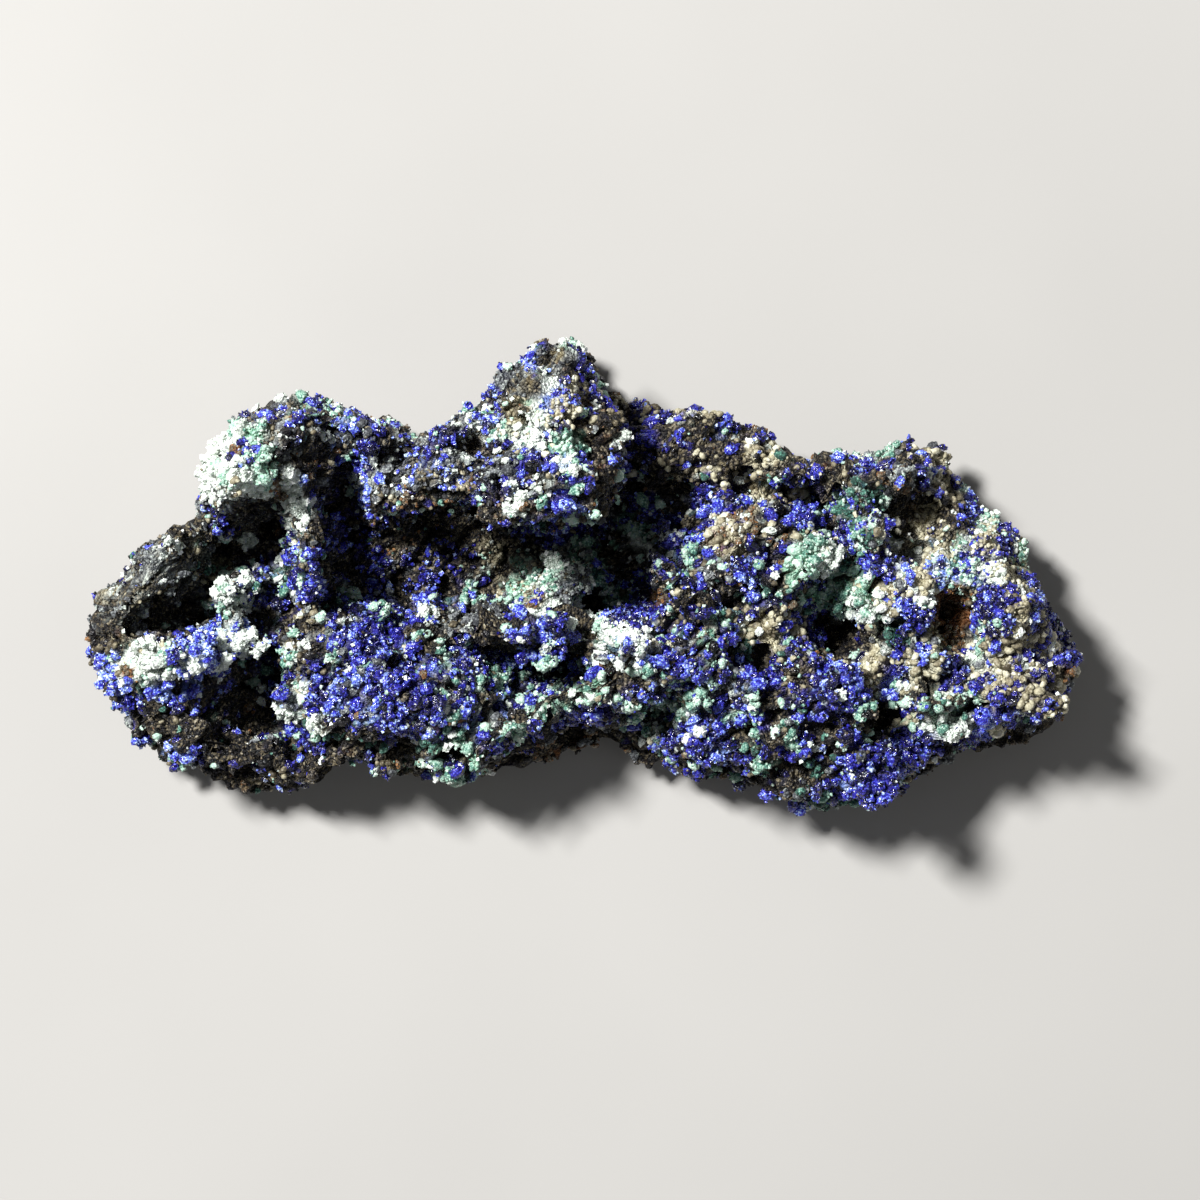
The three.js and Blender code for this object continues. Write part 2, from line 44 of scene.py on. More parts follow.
# What a patch of the crust is made of: shares of each kind of grain.
KINDS = ["azurite", "sky", "malachite", "teal", "cream", "tan", "grey", "white", "dark", "rust"]
MIXES = {
    # crusts in which the blue leads
    "azurite": dict(azurite=0.66, sky=0.12, dark=0.08, white=0.09, malachite=0.05),
    "blue_speckle": dict(azurite=0.38, sky=0.08, malachite=0.16, white=0.08, grey=0.05, tan=0.06,
        dark=0.19),
    "grey_speckle": dict(dark=0.26, grey=0.2, tan=0.14, white=0.16, azurite=0.16, malachite=0.08),
    "central_mix": dict(azurite=0.38, sky=0.16, malachite=0.14, white=0.12, grey=0.06, dark=0.14),
    # painted shade: azurite darkened with black rock, laid in the gully, the great hollow and the knob's
    # shadow on the bowl
    "night_blue": dict(azurite=0.35, dark=0.65),
    # painted shade: azurite speckle darkened with black rock, where the face falls away from the light
    "night_speckle": dict(azurite=0.28, dark=0.5, grey=0.04, tan=0.04, teal=0.08, malachite=0.06),
    "sky": dict(sky=0.52, azurite=0.26, white=0.16, dark=0.06),
    "sky_white": dict(sky=0.46, white=0.38, azurite=0.08, malachite=0.08),
    "veil": dict(white=0.34, sky=0.2, azurite=0.26, malachite=0.2),
    "white_blue": dict(white=0.42, sky=0.1, azurite=0.22, malachite=0.14, grey=0.06, dark=0.06),
    "steel": dict(dark=0.3, azurite=0.2, sky=0.14, grey=0.26, white=0.1),
    "steel_white": dict(dark=0.2, azurite=0.07, sky=0.12, grey=0.4, white=0.17, tan=0.04),
    # crusts in which the green leads
    "mint": dict(malachite=0.64, white=0.24, azurite=0.08, grey=0.04),
    "mint_speckle": dict(malachite=0.34, white=0.2, azurite=0.2, dark=0.14, teal=0.06, tan=0.06),
    "white_mint": dict(white=0.66, malachite=0.28, cream=0.04, azurite=0.02),
    "grey_mint": dict(malachite=0.34, grey=0.18, white=0.3, tan=0.12, dark=0.03, teal=0.03),
    # tan and green crust; its large share of white and cream is partly painted light, lifting the hollow
    # floor under the knob
    "tan_green": dict(tan=0.18, cream=0.26, malachite=0.24, grey=0.06, white=0.24, dark=0.02),
    "teal": dict(teal=0.26, azurite=0.22, dark=0.13, malachite=0.25, grey=0.06, white=0.08),
    # crusts in which white or cream leads
    "white": dict(white=0.88, cream=0.06, malachite=0.06),
    "mauve_white": dict(white=0.56, grey=0.26, cream=0.1, azurite=0.08),
    "white_cream": dict(white=0.4, cream=0.2, tan=0.16, malachite=0.14, azurite=0.06, rust=0.04),
    "pale": dict(cream=0.56, tan=0.16, white=0.12, azurite=0.08, dark=0.08),
    "pale_mint": dict(malachite=0.24, cream=0.34, tan=0.06, grey=0.1, white=0.2, azurite=0.06),
    "yellow": dict(cream=0.7, rust=0.2, white=0.1),
    "pale_speckle": dict(cream=0.12, tan=0.2, white=0.26, azurite=0.14, dark=0.16, malachite=0.12),
    "pale_blue_mix": dict(cream=0.4, azurite=0.28, white=0.14, tan=0.1, dark=0.08),
    "pale_rust": dict(cream=0.34, tan=0.14, rust=0.2, white=0.14, azurite=0.18),
    "fan_mix": dict(cream=0.32, tan=0.08, malachite=0.14, grey=0.04, white=0.18, azurite=0.17, sky=0.05,
        dark=0.02),
    "right_mix": dict(azurite=0.3, cream=0.1, tan=0.08, malachite=0.16, teal=0.05, white=0.08, grey=0.03,
        dark=0.16, rust=0.04),
    # dark rock with tan, rust and blue; it is darkened, with little cream, as painted shade in the bowl
    "bowl": dict(dark=0.52, rust=0.09, cream=0.05, tan=0.16, azurite=0.16, grey=0.02),
    "knob_crust": dict(white=0.34, cream=0.18, malachite=0.2, azurite=0.12, sky=0.06, tan=0.1),
    # the rock itself, and thin crusts on it
    "slab_rock": dict(grey=0.24, dark=0.52, tan=0.16, rust=0.03, white=0.05),
    "flecked_ridge": dict(grey=0.26, dark=0.28, white=0.22, tan=0.2, azurite=0.04),
    "speckled_rock": dict(dark=0.38, grey=0.24, white=0.18, azurite=0.1, tan=0.1),
    # dark rock speckled with crust, darkened further as painted shade on the lower flank of the lower left
    # lobe
    "dark_speckle": dict(dark=0.72, azurite=0.09, tan=0.07, teal=0.05, malachite=0.04, white=0.03),
    "grey": dict(grey=0.5, dark=0.24, white=0.1, tan=0.16),
    "rock": dict(dark=0.72, grey=0.16, tan=0.06, rust=0.06),
    "olive": dict(dark=0.34, grey=0.2, tan=0.24, malachite=0.1, teal=0.06, rust=0.06),
    "hollow_wall": dict(dark=0.52, rust=0.12, tan=0.12, grey=0.08, azurite=0.12, teal=0.04),
    "umber": dict(dark=0.62, rust=0.14, tan=0.08, grey=0.08, azurite=0.08),
    "rust": dict(rust=0.66, dark=0.26, tan=0.08),
    # black rock; laid in crevices, pockets and notches, and under rock that hangs over, it is painted shade
    "black": dict(dark=0.93, rust=0.05, azurite=0.02),
}

# Where each mix lies on the face: mix, centre x and y, half axes and any turn, in millimetres and degrees.
# A later patch lies over an earlier one.
PATCHES = [
    # left wedge
    ("slab_rock", -33.9, -0.9, 6.9, 3.3, 35),
    ("flecked_ridge", -33.2, 2.0, 6.3, 1.3, 38),
    ("rock", -38.4, -3.9, 2, 1.6, 30),
    ("white", -32.1, 2.4, 0.8, 0.7, 30),
    ("flecked_ridge", -37.6, -3.0, 1.9, 0.8, 50),
    # painted shade along the wedge's crevice
    ("black", -32.3, -4.9, 6.1, 1, 25),
    ("olive", -29.5, 1.4, 2, 1.7, 30),
    # lower left lobe
    ("sky_white", -36.8, -7.6, 1.8, 1.6),
    ("white_mint", -33.7, -6.6, 2.9, 1.7, 10),
    ("rust", -35.4, -7.4, 0.6, 0.5),
    ("sky_white", -28.6, -5.6, 2.6, 2.3, 20),
    ("sky_white", -28.4, -5.9, 2.2, 1.4, 20),
    # the lobe's lower flank: dark rock, and painted shade
    ("dark_speckle", -30.3, -11.4, 5.6, 3.1, -8),
    ("sky", -31.8, -8.9, 2.6, 0.8, 8),
    # painted shade in the pocket of the lower left lobe
    ("black", -26.4, -9.9, 1.9, 3.6),
    ("sky", -31.1, -14, 1.6, 0.8),
    ("dark_speckle", -25, -15.1, 5, 2.1, 5),
    # painted shade in the notch between the lobe and the central mass
    ("black", -24.4, -7.1, 0.7, 3.3, -5),
    # loose-looking pale nodule
    ("white_mint", -27.6, -1.1, 1.7, 1.8),
    ("azurite", -27.4, -1.1, 0.45, 1.0),
    # upper left lobe
    ("white", -27.8, 9.1, 3.3, 3.4, -15),
    ("white_mint", -25.8, 9.0, 2.6, 3.0),
    ("white", -27.2, 7.4, 2.4, 1.9),
    ("mint", -25.9, 11.3, 1.3, 0.9),
    ("mint", -24.8, 9.3, 0.8, 0.9),
    ("rust", -26.3, 10, 0.6, 0.5),
    ("speckled_rock", -30.2, 8.5, 0.8, 2.8, -15),
    ("night_speckle", -30.7, 6.8, 0.9, 1.1),
    ("speckled_rock", -24.6, 13.4, 3.5, 1.3, 15),
    ("blue_speckle", -23, 12.4, 2, 0.8),
    ("mint_speckle", -22.2, 14.3, 1.3, 0.6, -20),
    ("speckled_rock", -23.3, 10.2, 1.6, 2.5),
    ("rust", -23.5, 6.6, 0.6, 0.7),
    ("white", -22.4, 7.4, 0.7, 1.1, -10),
    ("white", -21.8, 5.7, 0.6, 0.8, -20),
    ("white_mint", -22.2, 4.6, 1.2, 2.0, -10),
    ("pale_speckle", -23, 2.6, 1.1, 1.4, 10),
    ("rock", -20, 9.7, 1.7, 3.1, -5),
    # painted shade in the gully beside the upper left lobe
    ("night_blue", -19.3, 5.7, 1.1, 3.5),
    # painted shade in the triangular pocket
    ("black", -26, 3.9, 1.9, 2.5, -20),
    ("white", -26.7, 3.1, 0.6, 0.6),
    ("blue_speckle", -22.4, 0.8, 1.7, 1.4),
    ("azurite", -21.2, -1.3, 0.9, 1.3, -40),
    ("pale_speckle", -24.2, -2.7, 1.6, 1.1),
    ("mint_speckle", -19.7, -2.4, 2, 0.9),
    # saddle
    ("mint_speckle", -19.5, 13.8, 1.7, 0.8),
    ("pale_speckle", -19.8, 11.7, 1.4, 1.1, -30),
    ("sky", -17, 13.5, 1.7, 0.7, -15),
    ("blue_speckle", -15.3, 12.1, 1.3, 1.1),
    ("rust", -14.2, 11.7, 0.5, 0.4),
    ("white_mint", -13.3, 11.5, 0.5, 0.7),
    ("steel_white", -18, 10.9, 2.4, 1.4, -15),
    ("blue_speckle", -16.4, 9.6, 2.4, 1.3),
    ("azurite", -15.9, 8.3, 1.9, 1.1),
    ("sky_white", -16.6, 7.3, 1.9, 1.2),
    ("pale_speckle", -14.6, 6.6, 1.1, 0.8),
    ("white", -15.8, 5.2, 0.6, 0.7),
    ("azurite", -15, 4.3, 1.3, 0.8, -40),
    ("black", -12.8, 6.9, 0.8, 1.9),
    # knob
    ("steel_white", -10.9, 9.5, 5.1, 3.3, 18),
    ("azurite", -10.6, 10.7, 1.4, 0.7, 15),
    ("pale_rust", -8.8, 7.1, 0.9, 0.8),
    ("steel_white", -11.3, 6.4, 1.4, 0.7),
    ("knob_crust", -3.2, 11.2, 3.4, 3.0),
    ("sky_white", -5.2, 17, 0.9, 1.1),
    ("sky", -3.9, 17, 0.8, 1.3),
    ("black", -5, 16, 0.6, 0.6),
    ("mint", -2.9, 15.9, 0.5, 0.9, -15),
    ("grey", -4.3, 14.6, 1.9, 1.6, 20),
    ("grey", -1.7, 16.9, 1.6, 1.3),
    ("rock", -0.5, 16.1, 0.8, 0.9),
    ("white_mint", -0.6, 18.5, 1.7, 0.6, -15),
    ("umber", 0.9, 17.2, 0.6, 1.6),
    ("pale", -0.2, 14.5, 1.3, 1.1),
    ("white", -2.2, 14.7, 0.8, 0.6),
    ("sky", -1.9, 13.4, 1.2, 1.1),
    ("rust", 0.5, 13.5, 0.6, 0.6),
    ("white_cream", -4.4, 12.4, 1.4, 1.3),
    ("white_cream", -3.3, 10.4, 2.7, 1.1),
    ("sky", -5.7, 10, 0.7, 0.6),
    ("blue_speckle", -1, 11.2, 0.9, 0.9),
    ("mint", 0, 10.4, 0.7, 1.1),
    ("mauve_white", 1.4, 11.7, 0.6, 2.2),
    ("sky_white", -0.9, 8.8, 1, 0.9),
    ("steel", -6.9, 8.7, 2.2, 1.7),
    ("azurite", -3.9, 8.2, 1.7, 1.3),
    ("azurite", -5.7, 5.8, 2.4, 1.1, -15),
    ("white", -5, 5.2, 1.9, 0.6, 12),
    ("white", -2.7, 7, 0.8, 0.9),
    ("rust", -3.7, 5.6, 0.8, 0.5, 20),
    ("azurite", -1.2, 6.3, 0.9, 1.4, -20),
    ("azurite", -4.7, 4.4, 1.9, 0.4),
    ("umber", 1.8, 8.5, 1.1, 3.6),
    ("umber", 2.5, 13.2, 1.1, 2.7, -20),
    ("pale_rust", 3.4, 14.5, 0.6, 0.8),
    # great hollow
    ("hollow_wall", -11, 3, 8.8, 3.1),
    ("hollow_wall", -8.7, 1, 2.7, 2),
    # painted shade in the great hollow
    ("night_blue", -12.2, 0.8, 2, 1.6),
    ("night_blue", -18.1, 1.4, 2.4, 2),
    ("mint", -8.4, -0.9, 0.6, 0.6),
    # paler as painted light on the floor under the knob
    ("tan_green", -4.6, 0.5, 3.8, 2.4),
    ("grey_mint", -1.1, 0.5, 2.5, 2.4, 20),
    ("mint_speckle", 0, -0.9, 1.9, 1.3),
    ("teal", -4, 3.7, 1.4, 0.6),
    # central mass
    ("central_mix", -14.2, -8.8, 10.4, 5.7, -5),
    ("grey_speckle", -21.6, -4.4, 3.6, 2.4, -20),
    ("azurite", -16.6, -4.4, 1.9, 1.3),
    ("azurite", -15.2, -7.4, 1.6, 1.4),
    ("grey", -8.7, -3.2, 3.5, 1.1, 8),
    ("white", -3.1, -2.6, 2, 0.8),
    ("white", -0.3, -2.8, 1.3, 0.9),
    ("white", 0.8, -4.3, 1.6, 0.5),
    ("pale_rust", -3.7, -2, 0.8, 0.6, 30),
    ("azurite", -2.1, -3.9, 1.5, 1.4),
    ("azurite", -2, -5.4, 1.4, 0.9),
    ("azurite", -5.1, -6.2, 1.4, 1.3),
    ("black", 0, -5.7, 1.1, 0.9),
    ("black", -7.2, -5, 1.3, 0.8),
    ("mint", -2.5, -7.2, 1.3, 0.9),
    ("mint_speckle", -7, -7.9, 1.6, 1.3),
    ("mint", -0.3, -9.6, 4.4, 0.9, 25),
    ("mint", -5.1, -12, 1.9, 0.7, 35),
    ("mint_speckle", -10.1, -14.3, 1.9, 2.7, 10),
    ("mint", -10.7, -16.3, 1.3, 0.8),
    ("azurite", -1.6, -11.3, 4.7, 0.7, 22),
    ("azurite", 0.8, -10.5, 2.4, 0.7, 15),
    ("pale_speckle", -13.1, -5.4, 0.6, 1.7, -25),
    ("white", -12.2, -2.7, 0.6, 0.6),
    ("white", -23.6, -10.8, 0.8, 0.7),
    ("white", -20.5, -11.6, 0.8, 0.6),
    ("white_cream", -22, -8.8, 1.1, 0.8),
    ("pale_speckle", -22.4, -5.7, 1.4, 1.1),
    ("night_speckle", -16.5, -13.1, 4.7, 1.6, -10),
    ("olive", -13.8, -15.1, 1.9, 1.1),
    ("umber", -1.2, -13.5, 6.9, 1.4, 12),
    ("umber", 5.1, -14.7, 2.4, 1.1, -15),
    # middle
    ("white_blue", 2.1, -5.4, 0.9, 2),
    ("white_mint", 2.5, -3.9, 1.3, 0.9),
    ("azurite", 3.3, -3, 1.3, 0.8),
    ("azurite", 5.2, -3.3, 1.4, 0.9),
    ("rust", 6.3, -1.6, 0.9, 0.8),
    ("white_blue", 4.9, -5.2, 2.4, 1.9),
    ("pale", 6.6, -5.5, 1.1, 0.9),
    ("grey", 5, -8, 2.2, 0.9),
    ("speckled_rock", 3.4, 2.2, 1.7, 1.7),
    ("teal", 1.5, 2.4, 0.6, 2.4, -8),
    ("mint", 3.5, 4.6, 0.7, 0.6),
    ("mint", 4.3, 4.1, 0.7, 0.6),
    ("white", 4.8, 3.1, 0.6, 0.6),
    ("white", 5.5, 2, 0.6, 0.9, -40),
    ("teal", 3.7, 5.3, 1.1, 0.6),
    ("veil", 6.9, 1.4, 1, 2, -40),
    ("veil", 9.4, -2.5, 0.9, 3.5, -42),
    ("mint", 8.6, 1.4, 0.6, 1.3),
    ("azurite", 7.4, 4.6, 0.7, 0.7),
    ("azurite", 7.4, 2.9, 0.8, 0.7),
    ("pale", 6.7, 3.5, 0.8, 0.5),
    ("pale", 6.9, 7.2, 0.9, 0.6),
    ("blue_speckle", 9.4, -4.9, 4.7, 3.5),
    ("mint_speckle", 6.3, -11.2, 3.1, 1.6),
    ("azurite", 9.2, -12.9, 2.2, 1.5),
    ("pale", 10.4, -15.4, 0.8, 0.5),
    # painted shade where the lower right flank falls away from the light
    ("night_speckle", 15.5, -13.6, 6.5, 3.6, -8),
    # bowl
    ("bowl", 9.8, 10.5, 7.6, 3.3),
    # painted shade: the knob's shadow on the bowl
    ("night_blue", 6.3, 10.9, 2.7, 2),
    ("pale_rust", 9.9, 8.4, 1.4, 0.8),
    ("pale", 15.3, 9.4, 2.4, 1.7, -20),
    ("pale_blue_mix", 8.7, 13, 4.9, 0.7),
    ("blue_speckle", 10.7, 11.5, 2.2, 0.9),
    ("black", 9.4, 7.2, 7.9, 0.6, -3),
    # right centre
    ("right_mix", 15.7, 1.4, 8.7, 7.3),
    ("azurite", 9.9, 6.4, 1.4, 0.9),
    ("azurite", 12.4, 6, 0.7, 0.7),
    ("pale_rust", 11.8, 3.4, 1.9, 2),
    ("azurite", 13.8, 0.9, 1.4, 1.2),
    ("azurite", 17.8, 5, 1.4, 1.3),
    ("pale_blue_mix", 15.7, 6.1, 2.4, 1.3),
    ("white_mint", 18.7, 1.8, 2, 1.4),
    ("mint_speckle", 18.9, -0.6, 1.9, 0.9),
    ("black", 11.2, -0.7, 1.1, 0.9),
    ("teal", 22.5, 4.4, 3, 3.5),
    ("teal", 20.5, -1.7, 2, 1.6),
    ("pale", 15, -3.7, 2.7, 1.3),
    ("azurite", 13.8, -8, 1.6, 1.7),
    ("teal", 14.2, -10, 1.6, 1.1),
    ("azurite", 20.2, -9, 2.2, 2),
    ("mint_speckle", 13.4, -11.8, 1.6, 1.9),
    ("night_speckle", 17.3, -12.8, 2.4, 2),
    ("night_speckle", 14.2, -15.4, 6, 2.2, -8),
    # right fan
    ("fan_mix", 31, -2.2, 8.8, 11.8),
    ("fan_mix", 29.8, 7.0, 3.2, 2.6, -30),
    ("pale", 20.2, 8.3, 2.2, 0.9, -10),
    ("grey_mint", 23.9, 9.3, 2.4, 1.8, 20),
    ("pale_blue_mix", 27.2, 9.9, 1.6, 1.1, -10),
    ("azurite", 23, 8.5, 2, 0.6, 10),
    ("black", 25.7, 9.1, 0.4, 1.6, -5),
    ("pale", 28.8, 9.6, 0.7, 0.9),
    ("black", 26, 5.5, 1.6, 2.7),
    ("pale", 28.3, 5.6, 1.4, 3, -15),
    ("grey_mint", 25.2, 2.4, 1.7, 0.9),
    ("pale_mint", 32.7, 1.3, 4.3, 3.6),
    ("azurite", 31.1, 5.4, 1.1, 1.9, -35),
    ("azurite", 33.9, 3, 0.9, 1.6, -35),
    ("azurite", 23.6, 0.9, 1.6, 1.1),
    ("azurite", 26.3, -2.7, 1.4, 1.6),
    ("teal", 24.4, -4.5, 1.7, 1.1),
    ("rust", 29.4, -2.7, 1.8, 2.9),
    ("white_mint", 30.6, 0.3, 2.2, 1),
    ("azurite", 32.1, -1.8, 0.9, 1.6),
    ("pale", 34.3, -2, 1.4, 3),
    ("azurite", 36.9, -1.6, 1.7, 3.6, -20),
    ("azurite", 38.7, -5.4, 1.3, 3.1, -10),
    ("mauve_white", 38.3, -6.1, 0.8, 1.1),
    ("pale_blue_mix", 35.3, -7.1, 3.5, 3.3),
    ("yellow", 32.1, -5.9, 1.1, 0.6),
    ("pale_mint", 31.3, -6.8, 1.6, 1.1),
    ("azurite", 29.1, -7.3, 1.3, 0.8),
    ("white_mint", 22.3, -2.2, 1.4, 1.1),
    ("pale", 23, -6.8, 0.7, 2.4),
    ("pale", 26.8, -7.7, 2, 1.4),
    ("azurite", 24.6, -7.9, 1.1, 1.4),
    ("black", 22.2, -4.9, 0.8, 0.9),
    ("black", 23.4, -10.9, 1.3, 1.1),
    ("white_mint", 29.1, -11.5, 2.2, 1.6),
    ("mint", 30.4, -9.8, 0.9, 1.1),
    ("azurite", 33.1, -10.7, 2.5, 0.9, 8),
    ("pale_blue_mix", 36.6, -9.4, 2.5, 1.7),
    ("azurite", 26.5, -13.5, 2.4, 1.6),
    ("azurite", 23, -16.5, 2.8, 2),
    ("umber", 35.4, -12.9, 5.5, 0.9, 20),
    ("umber", 28.7, -15.6, 4.7, 0.9, 28),
    ("teal", 19.5, -18.1, 1.9, 0.8),
]
GROUND_MIX = "blue_speckle"  # wherever no patch lies
SIDE_MIX = "umber"  # down the sides and over the broken back
SIDE_TURN = (0.0, -0.4)  # upward part of the normal at which the sides begin, and at which they are all there
SIDE_LOW = (3.6, 1.0)  # and the same as height over the floor, in millimetres
PATCH_EDGE = 0.35  # share of a patch's half axis over which it fades into its neighbours
PATCH_RAG = [(1.7, 0.3), (0.7, 0.2)]  # wavelength and strength of the waves that make its edge ragged
OVERHANG_SHADE_MIX = "black"  # painted shade: black rock put under rock that hangs over
OVERHANG_PAINTED_SHADE = 0.25  # and how far this painted shade takes the place of the crust there

# Where the rock is bare and low in relief: centre x and y, half axes and turn, in millimetres and degrees.
BARE = [
    (-34.4, -1.7, 6.2, 2.7, 35),  # wedge slab
    (-27.6, -1.1, 1.9, 2.0, 0),  # pale nodule
    (-3.6, 14.8, 1.8, 1.7, 20),  # knob
    (-0.9, 16.9, 1.5, 1.4, 0),
]
FACE_TURN = (0.1, 0.5)  # upward part of the normal over which the face begins, which alone is bare

# Where no seam or pit breaks the crust, in the same terms.
WHOLE = [
    (-15.2, 12.2, 2.2, 1.6, 0),  # crest of the saddle
    (-27.6, 8.8, 3.4, 3.4, -15),  # white crust of the upper left lobe
    (33.0, 0.4, 4.4, 6.0, 0),  # beads of the fan
]

# Where the crust is fine-grained, in the same terms.
FINE = [
    (-10.2, 9.7, 4.6, 3.2, 18),  # wing of the knob
    (-3.0, 14.0, 3.2, 3.6, 0),  # top of the knob
    (-33.2, 2.0, 6.6, 1.8, 38),  # ridge of the wedge
    (-11.0, 3.0, 8.8, 3.1, 0),  # hollow
    (-2.8, 0.6, 4.4, 2.6, 0),
    (31.5, 2.0, 4.6, 4.2, 0),  # fan
]

# Balls of crust that stand out of the face: x, y, radius and the mix that they are made of, in millimetres.
BALLS = [
    (13.8, -9.4, 1.7, "azurite"), (20.2, -9, 2.1, "azurite"), (-2.1, -3.9, 1.6, "azurite"),
    (-5.1, -6.2, 1.5, "azurite"), (-2.0, -5.4, 1.4, "azurite"), (9.9, 6.4, 1.1, "azurite"),
    (12.4, 6, 0.8, "azurite"), (7.4, 2.9, 0.8, "azurite"), (7.4, 4.6, 0.7, "azurite"),
    (13.8, 1, 1.3, "azurite"), (17.8, 5, 1.3, "azurite"), (23.6, 1, 1.4, "azurite"),
    (26.3, -2.7, 1.4, "azurite"), (9.6, -12.9, 2.0, "azurite"), (17.3, -12.8, 1.8, "azurite"),
    (23, -16.5, 2.1, "azurite"), (26.5, -13.5, 1.9, "azurite"), (-28.1, -5.8, 1.7, "sky_white"),
    (-14.2, -8.3, 1.6, "azurite"), (-17.8, -4.9, 1.5, "azurite"), (-20.6, -9.8, 1.5, "azurite"),
    (-11.6, -10.2, 1.5, "azurite"), (32.1, -1.8, 1.1, "azurite"), (29.1, -7.3, 1.2, "azurite"),
    (-27.6, -1.1, 1.5, "white_mint"), (3.5, 4.6, 0.7, "mint"), (4.3, 4.1, 0.8, "mint"),
    (4.8, 3.1, 0.8, "white"), (18.3, 2.1, 1.4, "white_mint"), (19.8, 1.2, 1.2, "white_mint"),
    (17.2, 0.9, 1.1, "mint"), (-8.4, -0.9, 0.9, "mint"), (-26.8, 3.1, 0.7, "white"),
    (-25.9, 11.3, 1.4, "mint"), (-24.8, 9.3, 1.3, "mint"),
    (-28.3, 9.3, 1.9, "white"), (-26.5, 7.1, 1.6, "white"), (-29.3, 7.9, 1.2, "white"),
    (-33.9, -6.2, 1.5, "white"), (-36.4, -7.2, 1.2, "white"), (-31.4, -6.1, 1.3, "mint"),
    (-23.6, -10.8, 0.9, "white"), (-20.5, -11.6, 0.8, "white"), (-12.2, -2.7, 0.8, "white"),
    (22.9, -6.9, 1.0, "pale"), (22.9, -8.2, 0.9, "pale"), (26.8, -7.7, 1.3, "pale"),
    (34.3, -2.1, 1.2, "pale"), (29.1, -11.5, 1.6, "white_mint"), (2.2, -4.2, 1.1, "white_blue"),
    (4.6, -5.2, 1.3, "white_blue"), (29.0, -3.7, 1.3, "rust"), (-30.2, -6.6, 1.3, "sky_white"),
    (-26.6, -4.6, 1.1, "sky_white"),
]
BALL_SINK = 0.25  # how deep a ball's centre lies below the face, in radii
CRUST_LUMPS = 520  # further lumps strewn over the crust
CRUST_LUMP_SIZE = (0.5, 1.3)  # their radius, in millimetres
CRUST_LUMP_SINK = (0.2, 0.6)  # and how deep their centres lie, in radii
CRUST_LUMP_FIELD = (40, 19)  # and half of the length and width that they are strewn over, in millimetres
LUMP_UNEVEN = 0.35  # how far a lump or ball departs from round, in radii
LUMP_REACH = 1.2  # how far its mix reaches, in radii
LUMP_OWN = 0.3  # share of one kind that a further lump adds to the mix that it stands in
BALL_GROUND = 0.3  # share of the mix around it that a ball keeps

# The rough surface of the rock and of the crusts on it, in millimetres.
ABOVE = 60  # a height over the whole specimen
FACET = 0.365  # distance between the points of the surface
SOFTENED = (3, 0.5)  # rounds of smoothing before the relief, and their strength
BROKEN = [(3.4, 0.6), (1.5, 0.6), (0.8, 0.25)]  # wavelength and height of the broken rock's waves
BEDDING = 32  # direction of the rock's bedding in degrees
BEDDED = (1.5, 2.2)  # how much longer the rock's forms and its seams are that way
GROWTHS = [(1.35, 0.5), (0.68, 0.2)]  # spacing and height of the round growths of the crust
GROWTH_LEVEL = 0.75  # how far up a growth, of 1, the rock's own surface lies
SEAM = (3.0, 1.0)  # distance between the seams that part the crust, and their depth
SEAM_EDGE = (0.12, 0.02)  # size of the noise where a seam begins, and where it is at its deepest
PIT = (2.1, 1.4)  # distance between pits and their depth
PIT_EDGE = (0.28, 0.45)  # noise where a pit begins, and where it is at its deepest
BARE_SMOOTH = 0.65  # share of the growths' relief that bare rock lacks
BARE_RELIEF = 0.4  # share of all relief that rock with no growths would keep
SETTLED = 0.3  # the relief is lowered by this, so that it stays within the solid's size

# The field of noise that each pattern starts from, so that no two patterns are alike.
FIELD = {"broken": 1, "seams": 4, "pits": 5, "ragged": 41, "clusters": 50, "flecks": 70}

# What holds each point of the rock: weights against one another.
HELD_BY_MIX = 0.6  # the mix of the patch
FAINT = 2e-3  # least share that a kind is taken to have, which keeps its logarithm finite
CLUSTERS = ("clusters", 2.4, 0.9)  # field, wavelength in mm and weight of the noise that bunches kinds
FLECKS = ("flecks", 0.9, 0.6)  # and of the finer one
HELD_BY_GROWTH = 1.3  # a growth's own kind
GROOVE_PAINTED_SHADE = 2.2  # painted shade: dark rock laid in the grooves between growths
GROOVE_SHADE_EDGE = (0.45, 0.1)  # how far up a growth its painted groove shade begins, and where it is all dark
GROOVE_SHADE_FILLED = 0.8  # how far a massive crust takes the painted shade from its grooves
DEEP_PAINTED_SHADE = 3  # painted shade: dark rock laid in the seams and pits


def smoothstep(low, high, value):
    t = np.clip((value - low) / (high - low), 0, 1)
    return t * t * (3 - 2 * t)


def noise_over(points, wave, shift):
    """Smooth noise at each point, from about -0.7 to 0.7. Points and wavelength are in millimetres."""
    away = Vector((shift * 13.7, shift * 7.1, shift * 3.9))
    return np.array([noise.noise(Vector(p) / wave + away) for p in points])


def bedding_run():
    angle = math.radians(BEDDING)
    return np.array([math.cos(angle), math.sin(angle), 0])


def along_bedding(points, longer):
    """The points squeezed along the bedding, so that what lies over them is so many times longer that way."""
    run = bedding_run()
    return points - np.outer(points @ run, run) * (1 - 1 / longer)


def growths_over(points, spacing):
    """Round growths packed side by side, as a botryoidal crust has them.

    Gives how high each point stands on its growth, 1 on the top and 0 in the grooves between them,
    and a number from 0 to 1 that is the same all over one growth.
    """
    round_off, mixing, spread = 0.5, Vector((12.9898, 78.233, 37.719)), 43758.5453
    inside, own = np.zeros(len(points)), np.zeros(len(points))
    for index, point in enumerate(points):
        distances, centres = noise.voronoi(Vector(point) / spacing)
        inside[index] = distances[1] - distances[0]
        own[index] = centres[0].dot(mixing)
    tops = np.sqrt(np.clip(inside / round_off, 0, 1))
    return tops, np.modf(np.abs(np.sin(own)) * spread)[0]


